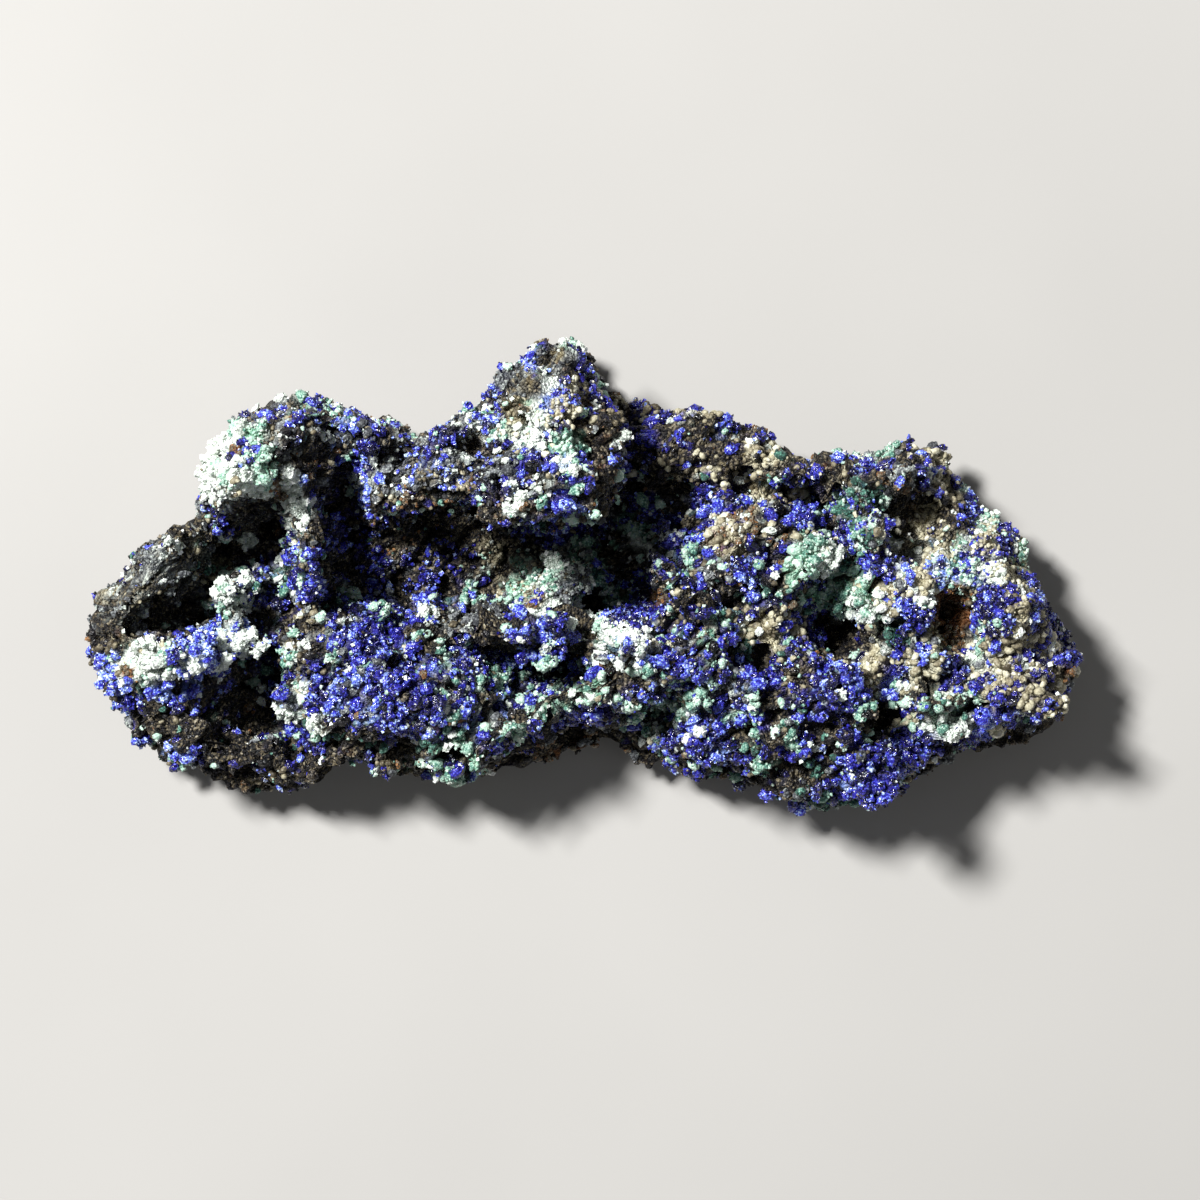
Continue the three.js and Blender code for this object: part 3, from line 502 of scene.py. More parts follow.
def shares_of(mix):
    return np.array([MIXES[mix].get(kind, 0.0) for kind in KINDS])


def kind_at(shares, places):
    """The kind whose stretch of the shares, laid end to end, holds each place from 0 to 1."""
    return (np.cumsum(shares, axis=1) < places[:, None]).sum(axis=1).clip(0, len(KINDS) - 1)


def of_kinds(what, kinds):
    """What GRAINS says of each of the given kinds."""
    return np.array([GRAINS[kind][what] for kind in KINDS])[kinds]


def unit(ways):
    return ways / np.linalg.norm(ways, axis=1)[:, None]


def turned(axes, ways):
    return np.einsum("nij,nj->ni", axes, ways)


def within(points, ragged, x, y, half_x, half_y, turn=0):
    """1 inside a turned ellipse of the face, fading to 0 over its ragged edge."""
    angle = math.radians(turn)
    dx, dy = points[:, 0] - x, points[:, 1] - y
    along = (dx * math.cos(angle) + dy * math.sin(angle)) / half_x
    across = (dy * math.cos(angle) - dx * math.sin(angle)) / half_y
    return smoothstep(1 + PATCH_EDGE, 1 - PATCH_EDGE, np.hypot(along, across) + ragged)


def ragged_edges(points):
    waves = enumerate(PATCH_RAG, FIELD["ragged"])
    return sum(strength * noise_over(points, wave, field) for field, (wave, strength) in waves)


def within_any(points, patches):
    """1 inside any of the patches, fading to 0 over their ragged edges."""
    ragged = ragged_edges(points)
    return np.max([within(points, ragged, *patch) for patch in patches], axis=0)


def bare_over(points, normals):
    """1 where the rock is bare and its relief is low, which is on the face only."""
    return within_any(points, BARE) * smoothstep(*FACE_TURN, normals[:, 2])


def mixes_over(points, normals, covered):
    """Share of each kind of grain at each point, from the patches of the face, with black rock as painted
    shade where rock hangs over.
    """
    shares = np.tile(shares_of(GROUND_MIX), (len(points), 1))
    ragged = ragged_edges(points)
    for mix, *patch in PATCHES:
        there = within(points, ragged, *patch)[:, None]
        shares = shares * (1 - there) + shares_of(mix) * there
    side = np.maximum(smoothstep(*SIDE_TURN, normals[:, 2]), smoothstep(*SIDE_LOW, points[:, 2]))[:, None]
    shares = shares * (1 - side) + shares_of(SIDE_MIX) * side
    # painted shade: black rock where rock hangs over the point
    overhang_shade = (OVERHANG_PAINTED_SHADE * covered)[:, None]
    return shares * (1 - overhang_shade) + shares_of(OVERHANG_SHADE_MIX) * overhang_shade


def solid_mesh():
    """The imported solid, in metres, with its facets joined."""
    doubled = 1e-7
    bm = bmesh.new()
    bm.from_mesh(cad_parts["specimen"].data)
    bmesh.ops.remove_doubles(bm, verts=bm.verts, dist=doubled)
    return bm


def linked(name, data):
    """A new object of the scene."""
    obj = bpy.data.objects.new(name, data)
    bpy.context.scene.collection.objects.link(obj)
    return obj


def lumps_on(surface, rng):
    """Every lump of the crust, seated on the CAD surface: centre, radius and mix, in millimetres."""
    lumps, down = [], Vector((0, 0, -1))
    for x, y, radius, mix in BALLS:
        spot, normal, _, _ = surface.ray_cast(Vector((x, y, ABOVE)), down)
        if spot is not None:
            lumps.append((spot - normal * radius * BALL_SINK, radius, mix))
    bareness = [patch[:4] for patch in BARE]
    while len(lumps) < len(BALLS) + CRUST_LUMPS:
        x, y = [rng.uniform(-half, half) for half in CRUST_LUMP_FIELD]
        radius = rng.uniform(*CRUST_LUMP_SIZE)
        spot, normal, _, _ = surface.ray_cast(Vector((x, y, ABOVE)), down)
        if spot is None or any(math.hypot((x - bx) / hx, (y - by) / hy) < 1 for bx, by, hx, hy in bareness):
            continue
        lumps.append((spot - normal * radius * rng.uniform(*CRUST_LUMP_SINK), radius, None))
    return lumps


def even_rock(lumps):
    """The specimen's rock with its lumps grown into it, as one even mesh."""
    bm = solid_mesh()
    for centre, radius, _ in lumps:
        made = bmesh.ops.create_icosphere(bm, subdivisions=2, radius=radius * MM)["verts"]
        for vert in made:
            vert.co *= 1 + LUMP_UNEVEN * noise.noise(vert.co / (radius * MM) + centre)
            vert.co += centre * MM
    mesh = bpy.data.meshes.new("rock")
    bm.to_mesh(mesh)
    bm.free()
    rock = linked("rock", mesh)
    even = rock.modifiers.new("even", "REMESH")
    even.mode = "VOXEL"
    even.voxel_size = FACET * MM
    soften = rock.modifiers.new("soften", "SMOOTH")
    soften.iterations, soften.factor = SOFTENED
    shaped = bpy.data.meshes.new_from_object(rock.evaluated_get(bpy.context.evaluated_depsgraph_get()))
    rock.modifiers.clear()
    rock.data = shaped
    rock.data.name = "rock"
    return rock


def rough_rock(lumps):
    """The rock with its broken relief, along its bedding.

    With it come the round growths of its crust, and how far each point lies in a seam or a pit, from 0 to 1.
    """
    rock = even_rock(lumps)
    points, normals = surface_of(rock)
    bedded = along_bedding(points, BEDDED[0])
    growths = [growths_over(bedded, spacing) for spacing, _ in GROWTHS]
    waves = enumerate(BROKEN, FIELD["broken"])
    relief = sum(height * noise_over(bedded, wave, field) for field, (wave, height) in waves)
    crusted = 1 - BARE_SMOOTH * bare_over(points, normals)
    for (tops, _), (_, height) in zip(growths, GROWTHS):
        relief += crusted * height * (tops - GROWTH_LEVEL)
    seam_noise = noise_over(along_bedding(points, BEDDED[1]), SEAM[0], FIELD["seams"])
    pit_noise = noise_over(points, PIT[0], FIELD["pits"])
    broken = 1 - within_any(points, WHOLE)
    seams = smoothstep(*SEAM_EDGE, np.abs(seam_noise)) * broken
    pits = smoothstep(*PIT_EDGE, pit_noise) * broken
    relief -= SEAM[1] * seams + PIT[1] * pits
    relief *= BARE_RELIEF + (1 - BARE_RELIEF) * crusted
    points = points + normals * (relief - SETTLED)[:, None]
    points[:, 2] = np.maximum(points[:, 2], 0)
    rock.data.vertices.foreach_set("co", (points * MM).astype(np.float32).ravel())
    rock.data.update()
    return rock, growths, crusted * np.maximum(seams, pits)


def surface_of(obj):
    """Points in millimetres and unit normals of an object's mesh."""
    count = len(obj.data.vertices)
    points, normals = np.zeros(count * 3, np.float32), np.zeros(count * 3, np.float32)
    obj.data.vertices.foreach_get("co", points)
    obj.data.vertex_normals.foreach_get("vector", normals)
    return points.reshape(-1, 3).astype(float) / MM, normals.reshape(-1, 3).astype(float)


def covered_from_above(obj, points, normals):
    """1 where rock hangs over a point, 0 where the sky above it is open."""
    corners = [vertex.co / MM for vertex in obj.data.vertices]
    tree = BVHTree.FromPolygons(corners, [face.vertices for face in obj.data.polygons])
    up, clear = Vector((0, 0, 1)), 0.4
    starts = points + normals * clear + np.array([0, 0, clear])
    return np.array([0.0 if tree.ray_cast(Vector(p), up)[0] is None else 1.0 for p in starts])


def with_lumps(points, shares, lumps, rng):
    """The shares changed where a lump stands: a ball has its own mix, the others lean to one kind."""
    shares = shares.copy()
    for centre, radius, mix in lumps:
        away = np.linalg.norm(points - np.array(centre), axis=1)
        there = away < radius * LUMP_REACH
        if mix is None:
            nearest = shares[np.argmin(away)]
            own = np.zeros(len(KINDS))
            own[rng.choice(len(KINDS), p=nearest / nearest.sum())] = 1
            shares[there] = (1 - LUMP_OWN) * shares[there] + LUMP_OWN * own
        else:
            shares[there] = BALL_GROUND * shares[there] + (1 - BALL_GROUND) * shares_of(mix)
    return shares


def kinds_noise(points, field, wave, weight):
    """A field of noise of its own for each kind, as columns."""
    return weight * np.column_stack([noise_over(points, wave, FIELD[field] + i) for i in range(len(KINDS))])


def holds_over(points, shares, growths, bare, deep):
    """How strongly each kind holds each point of the rock. Growths lean to one kind; the dark rock is raised
    between growths, and as painted shade in their grooves and in the seams and pits.
    """
    holds = HELD_BY_MIX * np.log(shares + FAINT)
    holds += kinds_noise(points, *CLUSTERS) + kinds_noise(points, *FLECKS)
    massive = shares @ np.array([MASSIVE.get(kind, 0.0) for kind in KINDS])
    dark = KINDS.index("dark")
    # dark rock, and painted shade, between the growths; painted shade in the seams and pits, and in the
    # grooves below
    holds[:, dark] += GAP_DARK_AND_SHADE * (1 - bare) * (1 - massive) + DEEP_PAINTED_SHADE * deep
    for tops, own in growths:
        holds[np.arange(len(points)), kind_at(shares, own)] += HELD_BY_GROWTH
        groove_shade = smoothstep(*GROOVE_SHADE_EDGE, tops)
        holds[:, dark] += GROOVE_PAINTED_SHADE * groove_shade * (1 - bare) * (1 - GROOVE_SHADE_FILLED * massive)
    return holds


def growths_on(points, shares, tops, open_share, rng):
    """The rock's points that carry a round growth, with its radius and kind. The highest points come first.

    Most places that fall to the dark rock stay empty, as the gaps that part the growths.
    """
    field, wave, _ = CLUSTERS
    liking = kinds_noise(points, field, wave, 1)
    white, dark = KINDS.index("white"), KINDS.index("dark")
    growing = shares.copy()
    growing[:, white] *= WHITE_FEW + (1 - WHITE_FEW) * smoothstep(*WHITE_FROM, shares[:, white])
    luck = rng.gumbel(0, GROWTH_LUCK, shares.shape)
    kinds = np.argmax(np.log(growing + FAINT) + GROWTH_CLUSTERED * liking + luck, axis=1)
    low, high = of_kinds("growth", kinds).T
    radii = low + (high - low) * rng.random(len(points)) ** MORE_SMALL
    radii *= 1 - FINER * within_any(points, FINE)
    order = np.argsort(rng.uniform(0, HEIGHT_LUCK, len(points)) - tops)
    order = order[rng.random(len(points)) < open_share[order]]
    stands, chosen = {}, []
    around = [(i, j, k) for i in (-1, 0, 1) for j in (-1, 0, 1) for k in (-1, 0, 1)]
    for index in order:
        x, y, z = here = points[index].tolist()
        radius = float(radii[index])
        column, row, level = int(x // GROWTH_CELL), int(y // GROWTH_CELL), int(z // GROWTH_CELL)
        crowded = any(
            math.dist(here, there) < GROWTH_GAP * (radius + other)
            for i, j, k in around
            for there, other in stands.get((column + i, row + j, level + k), ())
        )
        if not crowded:
            stands.setdefault((column, row, level), []).append((here, radius))
            if kinds[index] != dark or rng.random() < DARK_GROWN:
                chosen.append(index)
    chosen = np.array(chosen)
    return chosen, radii[chosen], kinds[chosen]


def seats_on_growths(spots, axes, radii, kinds, shares, rng):
    """Seats for grains all over the growths: spot, normal and kind of each."""
    counts = np.round(of_kinds("cover", kinds) * (2 * radii) ** 2).astype(int)
    which = np.repeat(np.arange(len(spots)), counts)
    ways = unit(rng.normal(0, 1, (len(which), 3)))
    ways[:, 2] = np.abs(ways[:, 2] + SEATS_FROM) - SEATS_FROM
    shape = np.array(GROWTH_SHAPE)
    seats = spots[which] + turned(axes[which], ways * shape * radii[which, None])
    facing = unit(turned(axes[which], ways / shape))
    drawn = kind_at(shares[which], rng.random(len(which)))
    return seats, facing, np.where(rng.random(len(which)) < GROWTH_PURE, kinds[which], drawn)


def template(build):
    """Points and triangles of one small shape that bmesh makes, about 1 across."""
    bm = bmesh.new()
    build(bm)
    bmesh.ops.triangulate(bm, faces=bm.faces)
    bmesh.ops.recalc_face_normals(bm, faces=bm.faces)
    bm.verts.index_update()
    points = np.array([v.co for v in bm.verts])
    triangles = np.array([[v.index for v in f.verts] for f in bm.faces])
    bm.free()
    return points, triangles


def crystal(bm):
    """A short azurite crystal: four sides that close to a narrow chisel edge."""
    edge_width, edge_length = 0.12, 0.75
    bmesh.ops.create_cube(bm, size=1)
    for vert in bm.verts:
        if vert.co.z > 0:
            vert.co.x *= edge_width
            vert.co.y *= edge_length


def bead(bm):
    """A round grain, a little uneven."""
    radius, uneven, waves = 0.5, 0.5, 2.6
    bmesh.ops.create_cube(bm, size=1)
    bmesh.ops.subdivide_edges(bm, edges=bm.edges, cuts=1, use_grid_fill=True)
    for vert in bm.verts:
        round_place = vert.co.normalized() * radius
        vert.co = round_place * (1 + uneven * noise.noise(round_place * waves))


def chip(bm):
    """An angular crumb or chip: a cube, each of whose corners is drawn in or out."""
    size, drawn_in, uneven, line = 0.9, 0.85, 0.5, (4.1, 0.6)
    bmesh.ops.create_cube(bm, size=size)
    for index, vert in enumerate(bm.verts):
        vert.co *= drawn_in + uneven * noise.noise(Vector((index * 2.3, *line)))


def axes_along(normals, tilt, run, rng):
    """Turned axes for each grain: the third is the tilted normal, and the second lies along the run."""
    up = unit(normals + rng.normal(0, tilt, normals.shape))
    side = unit(np.cross(up, run))
    return np.stack([side, np.cross(up, side), up], axis=2)


def joined_grains(name, smooth, batches):
    """Many grains as one mesh, in millimetres.

    A batch has one shape, how far it sinks in, in heights, and each grain's spot, axes, size and tone.
    """
    vertices, faces, tints, start = [], [], [], 0
    for (points, triangles), sink, spots, axes, sizes, tones in batches:
        local = points[None] * sizes[:, None]
        local[:, :, 2] += sizes[:, None, 2] * (0.5 - sink)
        placed = (spots[:, None] + np.einsum("nij,nkj->nki", axes, local)).reshape(-1, 3)
        placed[:, 2] = np.maximum(placed[:, 2], FLOOR_GAP)
        firsts = start + np.arange(len(spots)) * len(points)
        start += len(placed)
        vertices.append(placed * MM)
        faces.append((triangles[None] + firsts[:, None, None]).reshape(-1, 3))
        tints.append(np.repeat(tones, len(points)))
    vertices, faces = np.concatenate(vertices), np.concatenate(faces)
    mesh = bpy.data.meshes.new(name)
    mesh.vertices.add(len(vertices))
    mesh.vertices.foreach_set("co", vertices.astype(np.float32).ravel())
    mesh.loops.add(faces.size)
    mesh.loops.foreach_set("vertex_index", faces.astype(np.int32).ravel())
    mesh.polygons.add(len(faces))
    mesh.polygons.foreach_set("loop_start", np.arange(len(faces), dtype=np.int32) * 3)
    mesh.polygons.foreach_set("use_smooth", np.full(len(faces), smooth))
    mesh.update(calc_edges=True)
    tint = mesh.attributes.new("tint", "FLOAT", "POINT")
    tint.data.foreach_set("value", np.concatenate(tints).astype(np.float32))
    return linked(name, mesh)


def linear(hex_colour):
    """An sRGB hex colour as the linear values that the renderer works in."""
    channels = [int(hex_colour[i : i + 2], 16) / 255 for i in (1, 3, 5)]
    return tuple(c / 12.92 if c <= 0.04045 else ((c + 0.055) / 1.055) ** 2.4 for c in channels) + (1.0,)


def add(tree, kind, settings=None, **inputs):
    """One shader node. Settings are its own properties; inputs are values, or the sockets that feed it.

    An input is named after its socket, or in0, in1 and so on where sockets share a name.
    """
    made = tree.nodes.new(kind)
    for name, value in (settings or {}).items():
        setattr(made, name, value)
    for name, value in inputs.items():
        numbered = name.startswith("in") and name[2:].isdigit()
        socket = made.inputs[int(name[2:])] if numbered else made.inputs[name.replace("_", " ")]
        if isinstance(value, bpy.types.NodeSocket):
            tree.links.new(value, socket)
        else:
            socket.default_value = value
    return made


def ramp(tree, factor, *stops):
    """A colour that runs through the given stops, each a place from 0 to 1 and an sRGB hex colour."""
    made = add(tree, "ShaderNodeValToRGB", Fac=factor)
    elements = made.color_ramp.elements
    for element, (place, colour) in zip(elements, (stops[0], stops[-1])):
        element.position, element.color = place, linear(colour)
    for place, colour in stops[1:-1]:
        elements.new(place).color = linear(colour)
    return made.outputs["Color"]


def started(name):
    """A new material, its node tree, its shader and the object's own coordinates."""
    material = bpy.data.materials.new(name)
    material.use_nodes = True
    tree = material.node_tree
    return material, tree, tree.nodes["Principled BSDF"], add(tree, "ShaderNodeTexCoord").outputs["Object"]


def attribute(tree, name):
    return add(tree, "ShaderNodeAttribute", {"attribute_name": name}).outputs["Fac"]


def worked(tree, operation, *values):
    """One step of arithmetic on values or sockets."""
    inputs = {f"in{index}": value for index, value in enumerate(values)}
    return add(tree, "ShaderNodeMath", {"operation": operation}, **inputs).outputs[0]


def grainy(tree, coords, size):
    """A value that changes from grain to grain, and the distance from each one's middle. Size is in mm."""
    cells = add(tree, "ShaderNodeTexVoronoi", Vector=coords, Scale=1000 / size)
    pick = add(tree, "ShaderNodeSeparateColor", Color=cells.outputs["Color"])
    return pick.outputs[0], cells.outputs["Distance"]


def mottle(tree, coords, size, detail=4.0):
    return add(tree, "ShaderNodeTexNoise", Vector=coords, Scale=1000 / size, Detail=detail).outputs["Fac"]


def mapped(tree, value, low, high):
    """A value from 0 to 1 brought to the range from low to high."""
    settings = {"clamp": True}
    return add(tree, "ShaderNodeMapRange", settings, Value=value, To_Min=low, To_Max=high).outputs["Result"]


def bumped(tree, height, depth, normal=None):
    """Relief of a given depth in millimetres."""
    made = add(tree, "ShaderNodeBump", Height=height, Distance=depth * MM, Strength=1.0)
    if normal is not None:
        tree.links.new(normal, made.inputs["Normal"])
    return made.outputs["Normal"]


ROCK_TONES = {
    "azurite": ((0, "#0B0928"), (0.5, "#211E78"), (1, "#3B3BC4")),
    "sky": ((0, "#4458B4"), (0.5, "#86A2E4"), (1, "#D4E2F8")),
    "malachite": ((0, "#4C8E74"), (0.5, "#93C6A8"), (1, "#D2EAD8")),
    "teal": ((0, "#123A32"), (0.6, "#2A6A5A"), (1, "#5C9A88")),
    "cream": ((0, "#8A8064"), (0.5, "#C6BE9C"), (1, "#ECE8D0")),
    "tan": ((0, "#32291A"), (0.45, "#6A5E42"), (1, "#B8AE8A")),
    "grey": ((0, "#1E2024"), (0.4, "#54585A"), (0.7, "#8E928E"), (1, "#C4C8C2")),
    "white": ((0, "#A8B2A8"), (0.4, "#E0EAE0"), (1, "#F8FBF4")),
    "dark": ((0, "#040406"), (0.4, "#0F0D11"), (0.57, "#2A241C"), (0.7, "#5E543E"), (1, "#B8B09C")),
    "rust": ((0, "#301A0A"), (0.45, "#744620"), (1, "#BE8A5A")),
}


def limonite_rock():
    """Porous brown-black iron oxide, dull and crumbly, stained by films of the copper minerals on it."""
    granule, stain, pore = 0.2, 0.45, 0.2
    granule_relief, pore_depth = 0.24, 0.1
    material, tree, shader, coords = started("limonite_rock")
    grain, fall = grainy(tree, coords, granule)
    fine = mapped(tree, mottle(tree, coords, stain, 6.0), -0.3, 0.65)
    tone = worked(tree, "MULTIPLY_ADD", grain, 0.6, fine)
    total = None
    for kind in KINDS:
        share = attribute(tree, kind)
        colour = ramp(tree, tone, *ROCK_TONES[kind])
        scaled = add(tree, "ShaderNodeVectorMath", {"operation": "SCALE"}, Vector=colour, Scale=share)
        part = scaled.outputs[0]
        if total is None:
            total = part
        else:
            total = add(tree, "ShaderNodeVectorMath", {"operation": "ADD"}, in0=total, in1=part).outputs[0]
    tree.links.new(total, shader.inputs["Base Color"])
    glassy = attribute(tree, "azurite")
    dull = mapped(tree, grain, 0.4, 0.95)
    tree.links.new(worked(tree, "MULTIPLY_ADD", glassy, -0.3, dull), shader.inputs["Roughness"])
    pits = bumped(tree, mottle(tree, coords, pore, 3.0), pore_depth)
    raised = worked(tree, "SUBTRACT", 1.0, fall)
    tree.links.new(bumped(tree, raised, granule_relief, pits), shader.inputs["Normal"])
    return material


def grain_surface(name, stops, granule, spread, groove_shade, roughness, relief):
    """What the grain materials share: granules that differ in tone and gloss, each darker towards its edge as
    painted shade in the grooves between them.

    The granule's size and its relief are in millimetres; spread and groove_shade, the strength of the painted
    shade, are parts of the range of tones.
    """
    cloud_size, cloud_spread = 3, 0.1
    painted_shade_depth, painted_shade_offset = 2, 0.7
    fine_size, fine_relief = 0.5, 0.3
    material, tree, shader, coords = started(name)
    tint = attribute(tree, "tint")
    pick, fall = grainy(tree, coords, granule)
    own = worked(tree, "ADD", tint, mapped(tree, pick, -spread, spread))
    cloud = mapped(tree, mottle(tree, coords, granule * cloud_size), -cloud_spread, cloud_spread)
    clouded = worked(tree, "ADD", own, cloud)
    # painted shade: each granule's tone falls towards its edge, and all tones are raised to make up for it
    deep = worked(tree, "MULTIPLY", fall, groove_shade * painted_shade_depth)
    tone_with_painted_shade = worked(tree, "ADD", worked(tree, "SUBTRACT", clouded, deep), groove_shade * painted_shade_offset)
    tree.links.new(ramp(tree, tone_with_painted_shade, *stops), shader.inputs["Base Color"])
    tree.links.new(mapped(tree, pick, *roughness), shader.inputs["Roughness"])
    raised = worked(tree, "SUBTRACT", 1.0, fall)
    fine = bumped(tree, mottle(tree, coords, granule * fine_size, 2.0), relief * fine_relief)
    tree.links.new(bumped(tree, raised, relief, fine), shader.inputs["Normal"])
    return material, shader


def azurite_glass():
    """Azurite crystals: glassy copper carbonate, from nearly black to violet blue from grain to grain; the
    palest tones are partly painted glints.
    """
    # the palest stops, up to near white, are partly painted glints
    stops = (
        (0, "#080720"), (0.25, "#19155C"), (0.5, "#2F2CAA"),
        (0.65, "#4A52DA"), (0.8, "#86A6E6"), (1, "#DEECFA"),
    )
    material, shader = grain_surface(
        "azurite_glass", stops, granule=0.16, spread=0.22, groove_shade=0.2, roughness=(0.06, 0.5), relief=0.05
    )
    shader.inputs["IOR"].default_value = 1.73
    return material


def malachite_felt():
    """Malachite: tight tufts of fine needles, so dull and softly pale green, deeper where it is massive."""
    stops = ((0, "#183A31"), (0.28, "#4C8472"), (0.43, "#98BEAA"), (0.72, "#C2DECC"), (1, "#EEF6EA"))
    material, shader = grain_surface(
        "malachite_felt", stops, granule=0.18, spread=0.16, groove_shade=0.24, roughness=(0.5, 0.9), relief=0.06
    )
    shader.inputs["Sheen Weight"].default_value = 0.15
    return material


def cream_beads():
    """Rounded carbonate beads, cream to tan, with a dull waxy skin stained by iron."""
    stops = ((0, "#4E4636"), (0.25, "#8C836A"), (0.5, "#B8B296"), (0.75, "#D8D4BC"), (1, "#F4F2E4"))
    material, _ = grain_surface(
        "cream_beads", stops, granule=0.24, spread=0.14, groove_shade=0.16, roughness=(0.4, 0.8), relief=0.05
    )
    return material


def chalky_crust():
    """Carbonate crust: chalky crumbs, white with a green cast, and grey where fine rock is bound in them."""
    stops = ((0, "#34363A"), (0.26, "#84888A"), (0.42, "#C2CCC0"), (0.6, "#EAF2E8"), (1, "#FEFFFC"))
    material, _ = grain_surface(
        "chalky_crust", stops, granule=0.18, spread=0.14, groove_shade=0.16, roughness=(0.45, 0.95), relief=0.06
    )
    return material


def iron_oxide_chips():
    """Chips of iron oxide: black with a dull metallic glitter when fresh, brown to rust where weathered."""
    stops = (
        (0, "#060609"), (0.3, "#141216"), (0.5, "#2E281F"),
        (0.66, "#8A806C"), (0.78, "#54361C"), (1, "#A07448"),
    )
    material, _ = grain_surface(
        "iron_oxide_chips", stops, granule=0.18, spread=0.16, groove_shade=0.14, roughness=(0.12, 0.7), relief=0.05
    )
    return material


# What each kind grows as, in millimetres: radius of its round growths, how many grains cover a growth that is
# 1 mm across, share of the rock's points that carry a loose grain, least and greatest grain, and their tones.
GRAINS = {
    "azurite": dict(growth=(0.3, 0.66), cover=22, loose=0.3, size=(0.13, 0.34), tone=(0.0, 0.9)),
    "sky": dict(growth=(0.28, 0.55), cover=20, loose=0.3, size=(0.13, 0.34), tone=(0.7, 1.0)),
    "malachite": dict(growth=(0.26, 0.58), cover=16, loose=0.24, size=(0.14, 0.4), tone=(0.35, 1.0)),
    "teal": dict(growth=(0.28, 0.5), cover=12, loose=0.2, size=(0.16, 0.4), tone=(0.0, 0.36)),
    "cream": dict(growth=(0.22, 0.46), cover=4, loose=0.1, size=(0.16, 0.4), tone=(0.3, 1.0)),
    "tan": dict(growth=(0.18, 0.36), cover=2, loose=0.1, size=(0.16, 0.36), tone=(0.0, 0.45)),
    "grey": dict(growth=(0.25, 0.5), cover=10, loose=0.15, size=(0.14, 0.36), tone=(0.0, 0.42)),
    "white": dict(growth=(0.24, 0.56), cover=16, loose=0.4, size=(0.14, 0.42), tone=(0.5, 1.0)),
    "dark": dict(growth=(0.28, 0.5), cover=12, loose=0.24, size=(0.14, 0.36), tone=(0.0, 0.7)),
    "rust": dict(growth=(0.2, 0.36), cover=10, loose=0.15, size=(0.14, 0.34), tone=(0.72, 1.0)),
}
GROWTH_GAP = 0.82  # least distance between growths, in sums of their radii
GROWTH_CELL = 1.1  # side of the cells searched for neighbours, more than the greatest of those distances
GROWTH_SHAPE = (0.9, 1.2, 0.95)  # a growth's radii across the bedding, along it and outwards, in its radius
GROWTH_UNEVEN = (0.85, 1.15)  # and by how much each of them differs from growth to growth
GRAIN_UNEVEN = (0.8, 1.2)  # the same for a grain's sizes
MORE_SMALL = 1.5  # over 1, small growths and grains are more common than large ones
GROWTH_CLUSTERED = 2.6  # weight of the noise that bunches growths of one kind
GROWTH_LUCK = 0.75  # weight of plain chance in a growth's kind
HEIGHT_LUCK = 0.8  # weight of plain chance in which places carry a growth first, against their height
WHITE_FROM = (0.25, 0.5)  # shares of white over which its growths come into their full number
WHITE_FEW = 0.3  # and the part of its share that counts where white is scarcer
GROWTH_PURE = 0.72  # share of a growth's grains that are of its own kind
LOOSE_MIXED = 0.4  # share of the grains between growths that are of the crust's own mix
DARK_GROWN = 0.12  # share of the dark rock's places that do stand up as a growth
FINER = 0.5  # how much smaller the growths of the fine crusts are
MASSIVE = {"white": 1.0, "malachite": 0.5, "cream": 0.8}  # how far a kind fills the gaps between its growths
GAP_DARK_AND_SHADE = 1.1  # how much darker the rock is between the growths: dark rock, and painted shade
SHARPNESS = 2.2  # how sharply one kind's stain on the rock gives way to the next

# Where growths and grains stand, and how.
UPPER_TURN = (-0.55, 0.0)  # upward part of the normal over which they begin
UPPER_FROM = (0.5, 1.6)  # and millimetres over the floor
DEEP_EMPTY = 0.95  # share of the growths that seams and pits lack
BARE_EMPTY = 0.3  # share of the loose grains that bare rock lacks
LOOSE_LUCK = 0.7  # weight of plain chance in a loose grain's kind
LOOSE_SHIFT = 0.06  # millimetres that it lies off its point of the rock
RUN_LUCK = 0.8  # how far a growth's length strays from the bedding
GROWTH_TILT, GRAIN_TILT = 0.15, 0.45  # how far they lean from the surface's normal
GROWTH_SINK, GRAIN_SINK = 0.5, 0.4  # share of their height that lies in the rock or the growth
SEATS_FROM = 0.15  # how far below its middle a growth still carries grains, in radii
GROWTH_TONE = 0.85  # a growth's tone against that of its grains
FLOOR_GAP = 0.02  # millimetres between the lowest grains and the floor

# The pieces that growths and grains are joined into. The most is a number of triangles.
PIECES = [
    dict(name="azurite_crystals", kinds=("azurite", "sky"), shape=crystal, proportions=(0.75, 1.0, 1.15),
         smooth=False, most=380000, parts=2, material=azurite_glass, slot="azurite"),
    dict(name="malachite_grains", kinds=("malachite", "teal"), shape=chip, proportions=(1, 1, 0.9),
         smooth=True, most=130000, parts=1, material=malachite_felt, slot="malachite"),
    dict(name="cream_grains", kinds=("cream", "tan"), shape=bead, proportions=(1, 1, 0.9),
         smooth=True, most=140000, parts=1, material=cream_beads, slot="pale_grains"),
    dict(name="white_grains", kinds=("white", "grey"), shape=chip, proportions=(1, 1, 0.9),
         smooth=False, most=190000, parts=1, material=chalky_crust, slot="white_crust"),
    dict(name="dark_chips", kinds=("dark", "rust"), shape=chip, proportions=(1, 1, 0.9),
         smooth=False, most=155000, parts=1, material=iron_oxide_chips, slot="host_rock"),
]


def painted(rock, holds):
    """Gives the rock's points their share of each kind, which its material reads."""
    # the dark share carries the painted shade of grooves, seams, pits and overhangs
    weights = np.exp(SHARPNESS * (holds - holds.max(axis=1)[:, None]))
    weights /= weights.sum(axis=1)[:, None]
    for index, kind in enumerate(KINDS):
        share = rock.data.attributes.new(kind, "FLOAT", "POINT")
        share.data.foreach_set("value", weights[:, index].astype(np.float32))


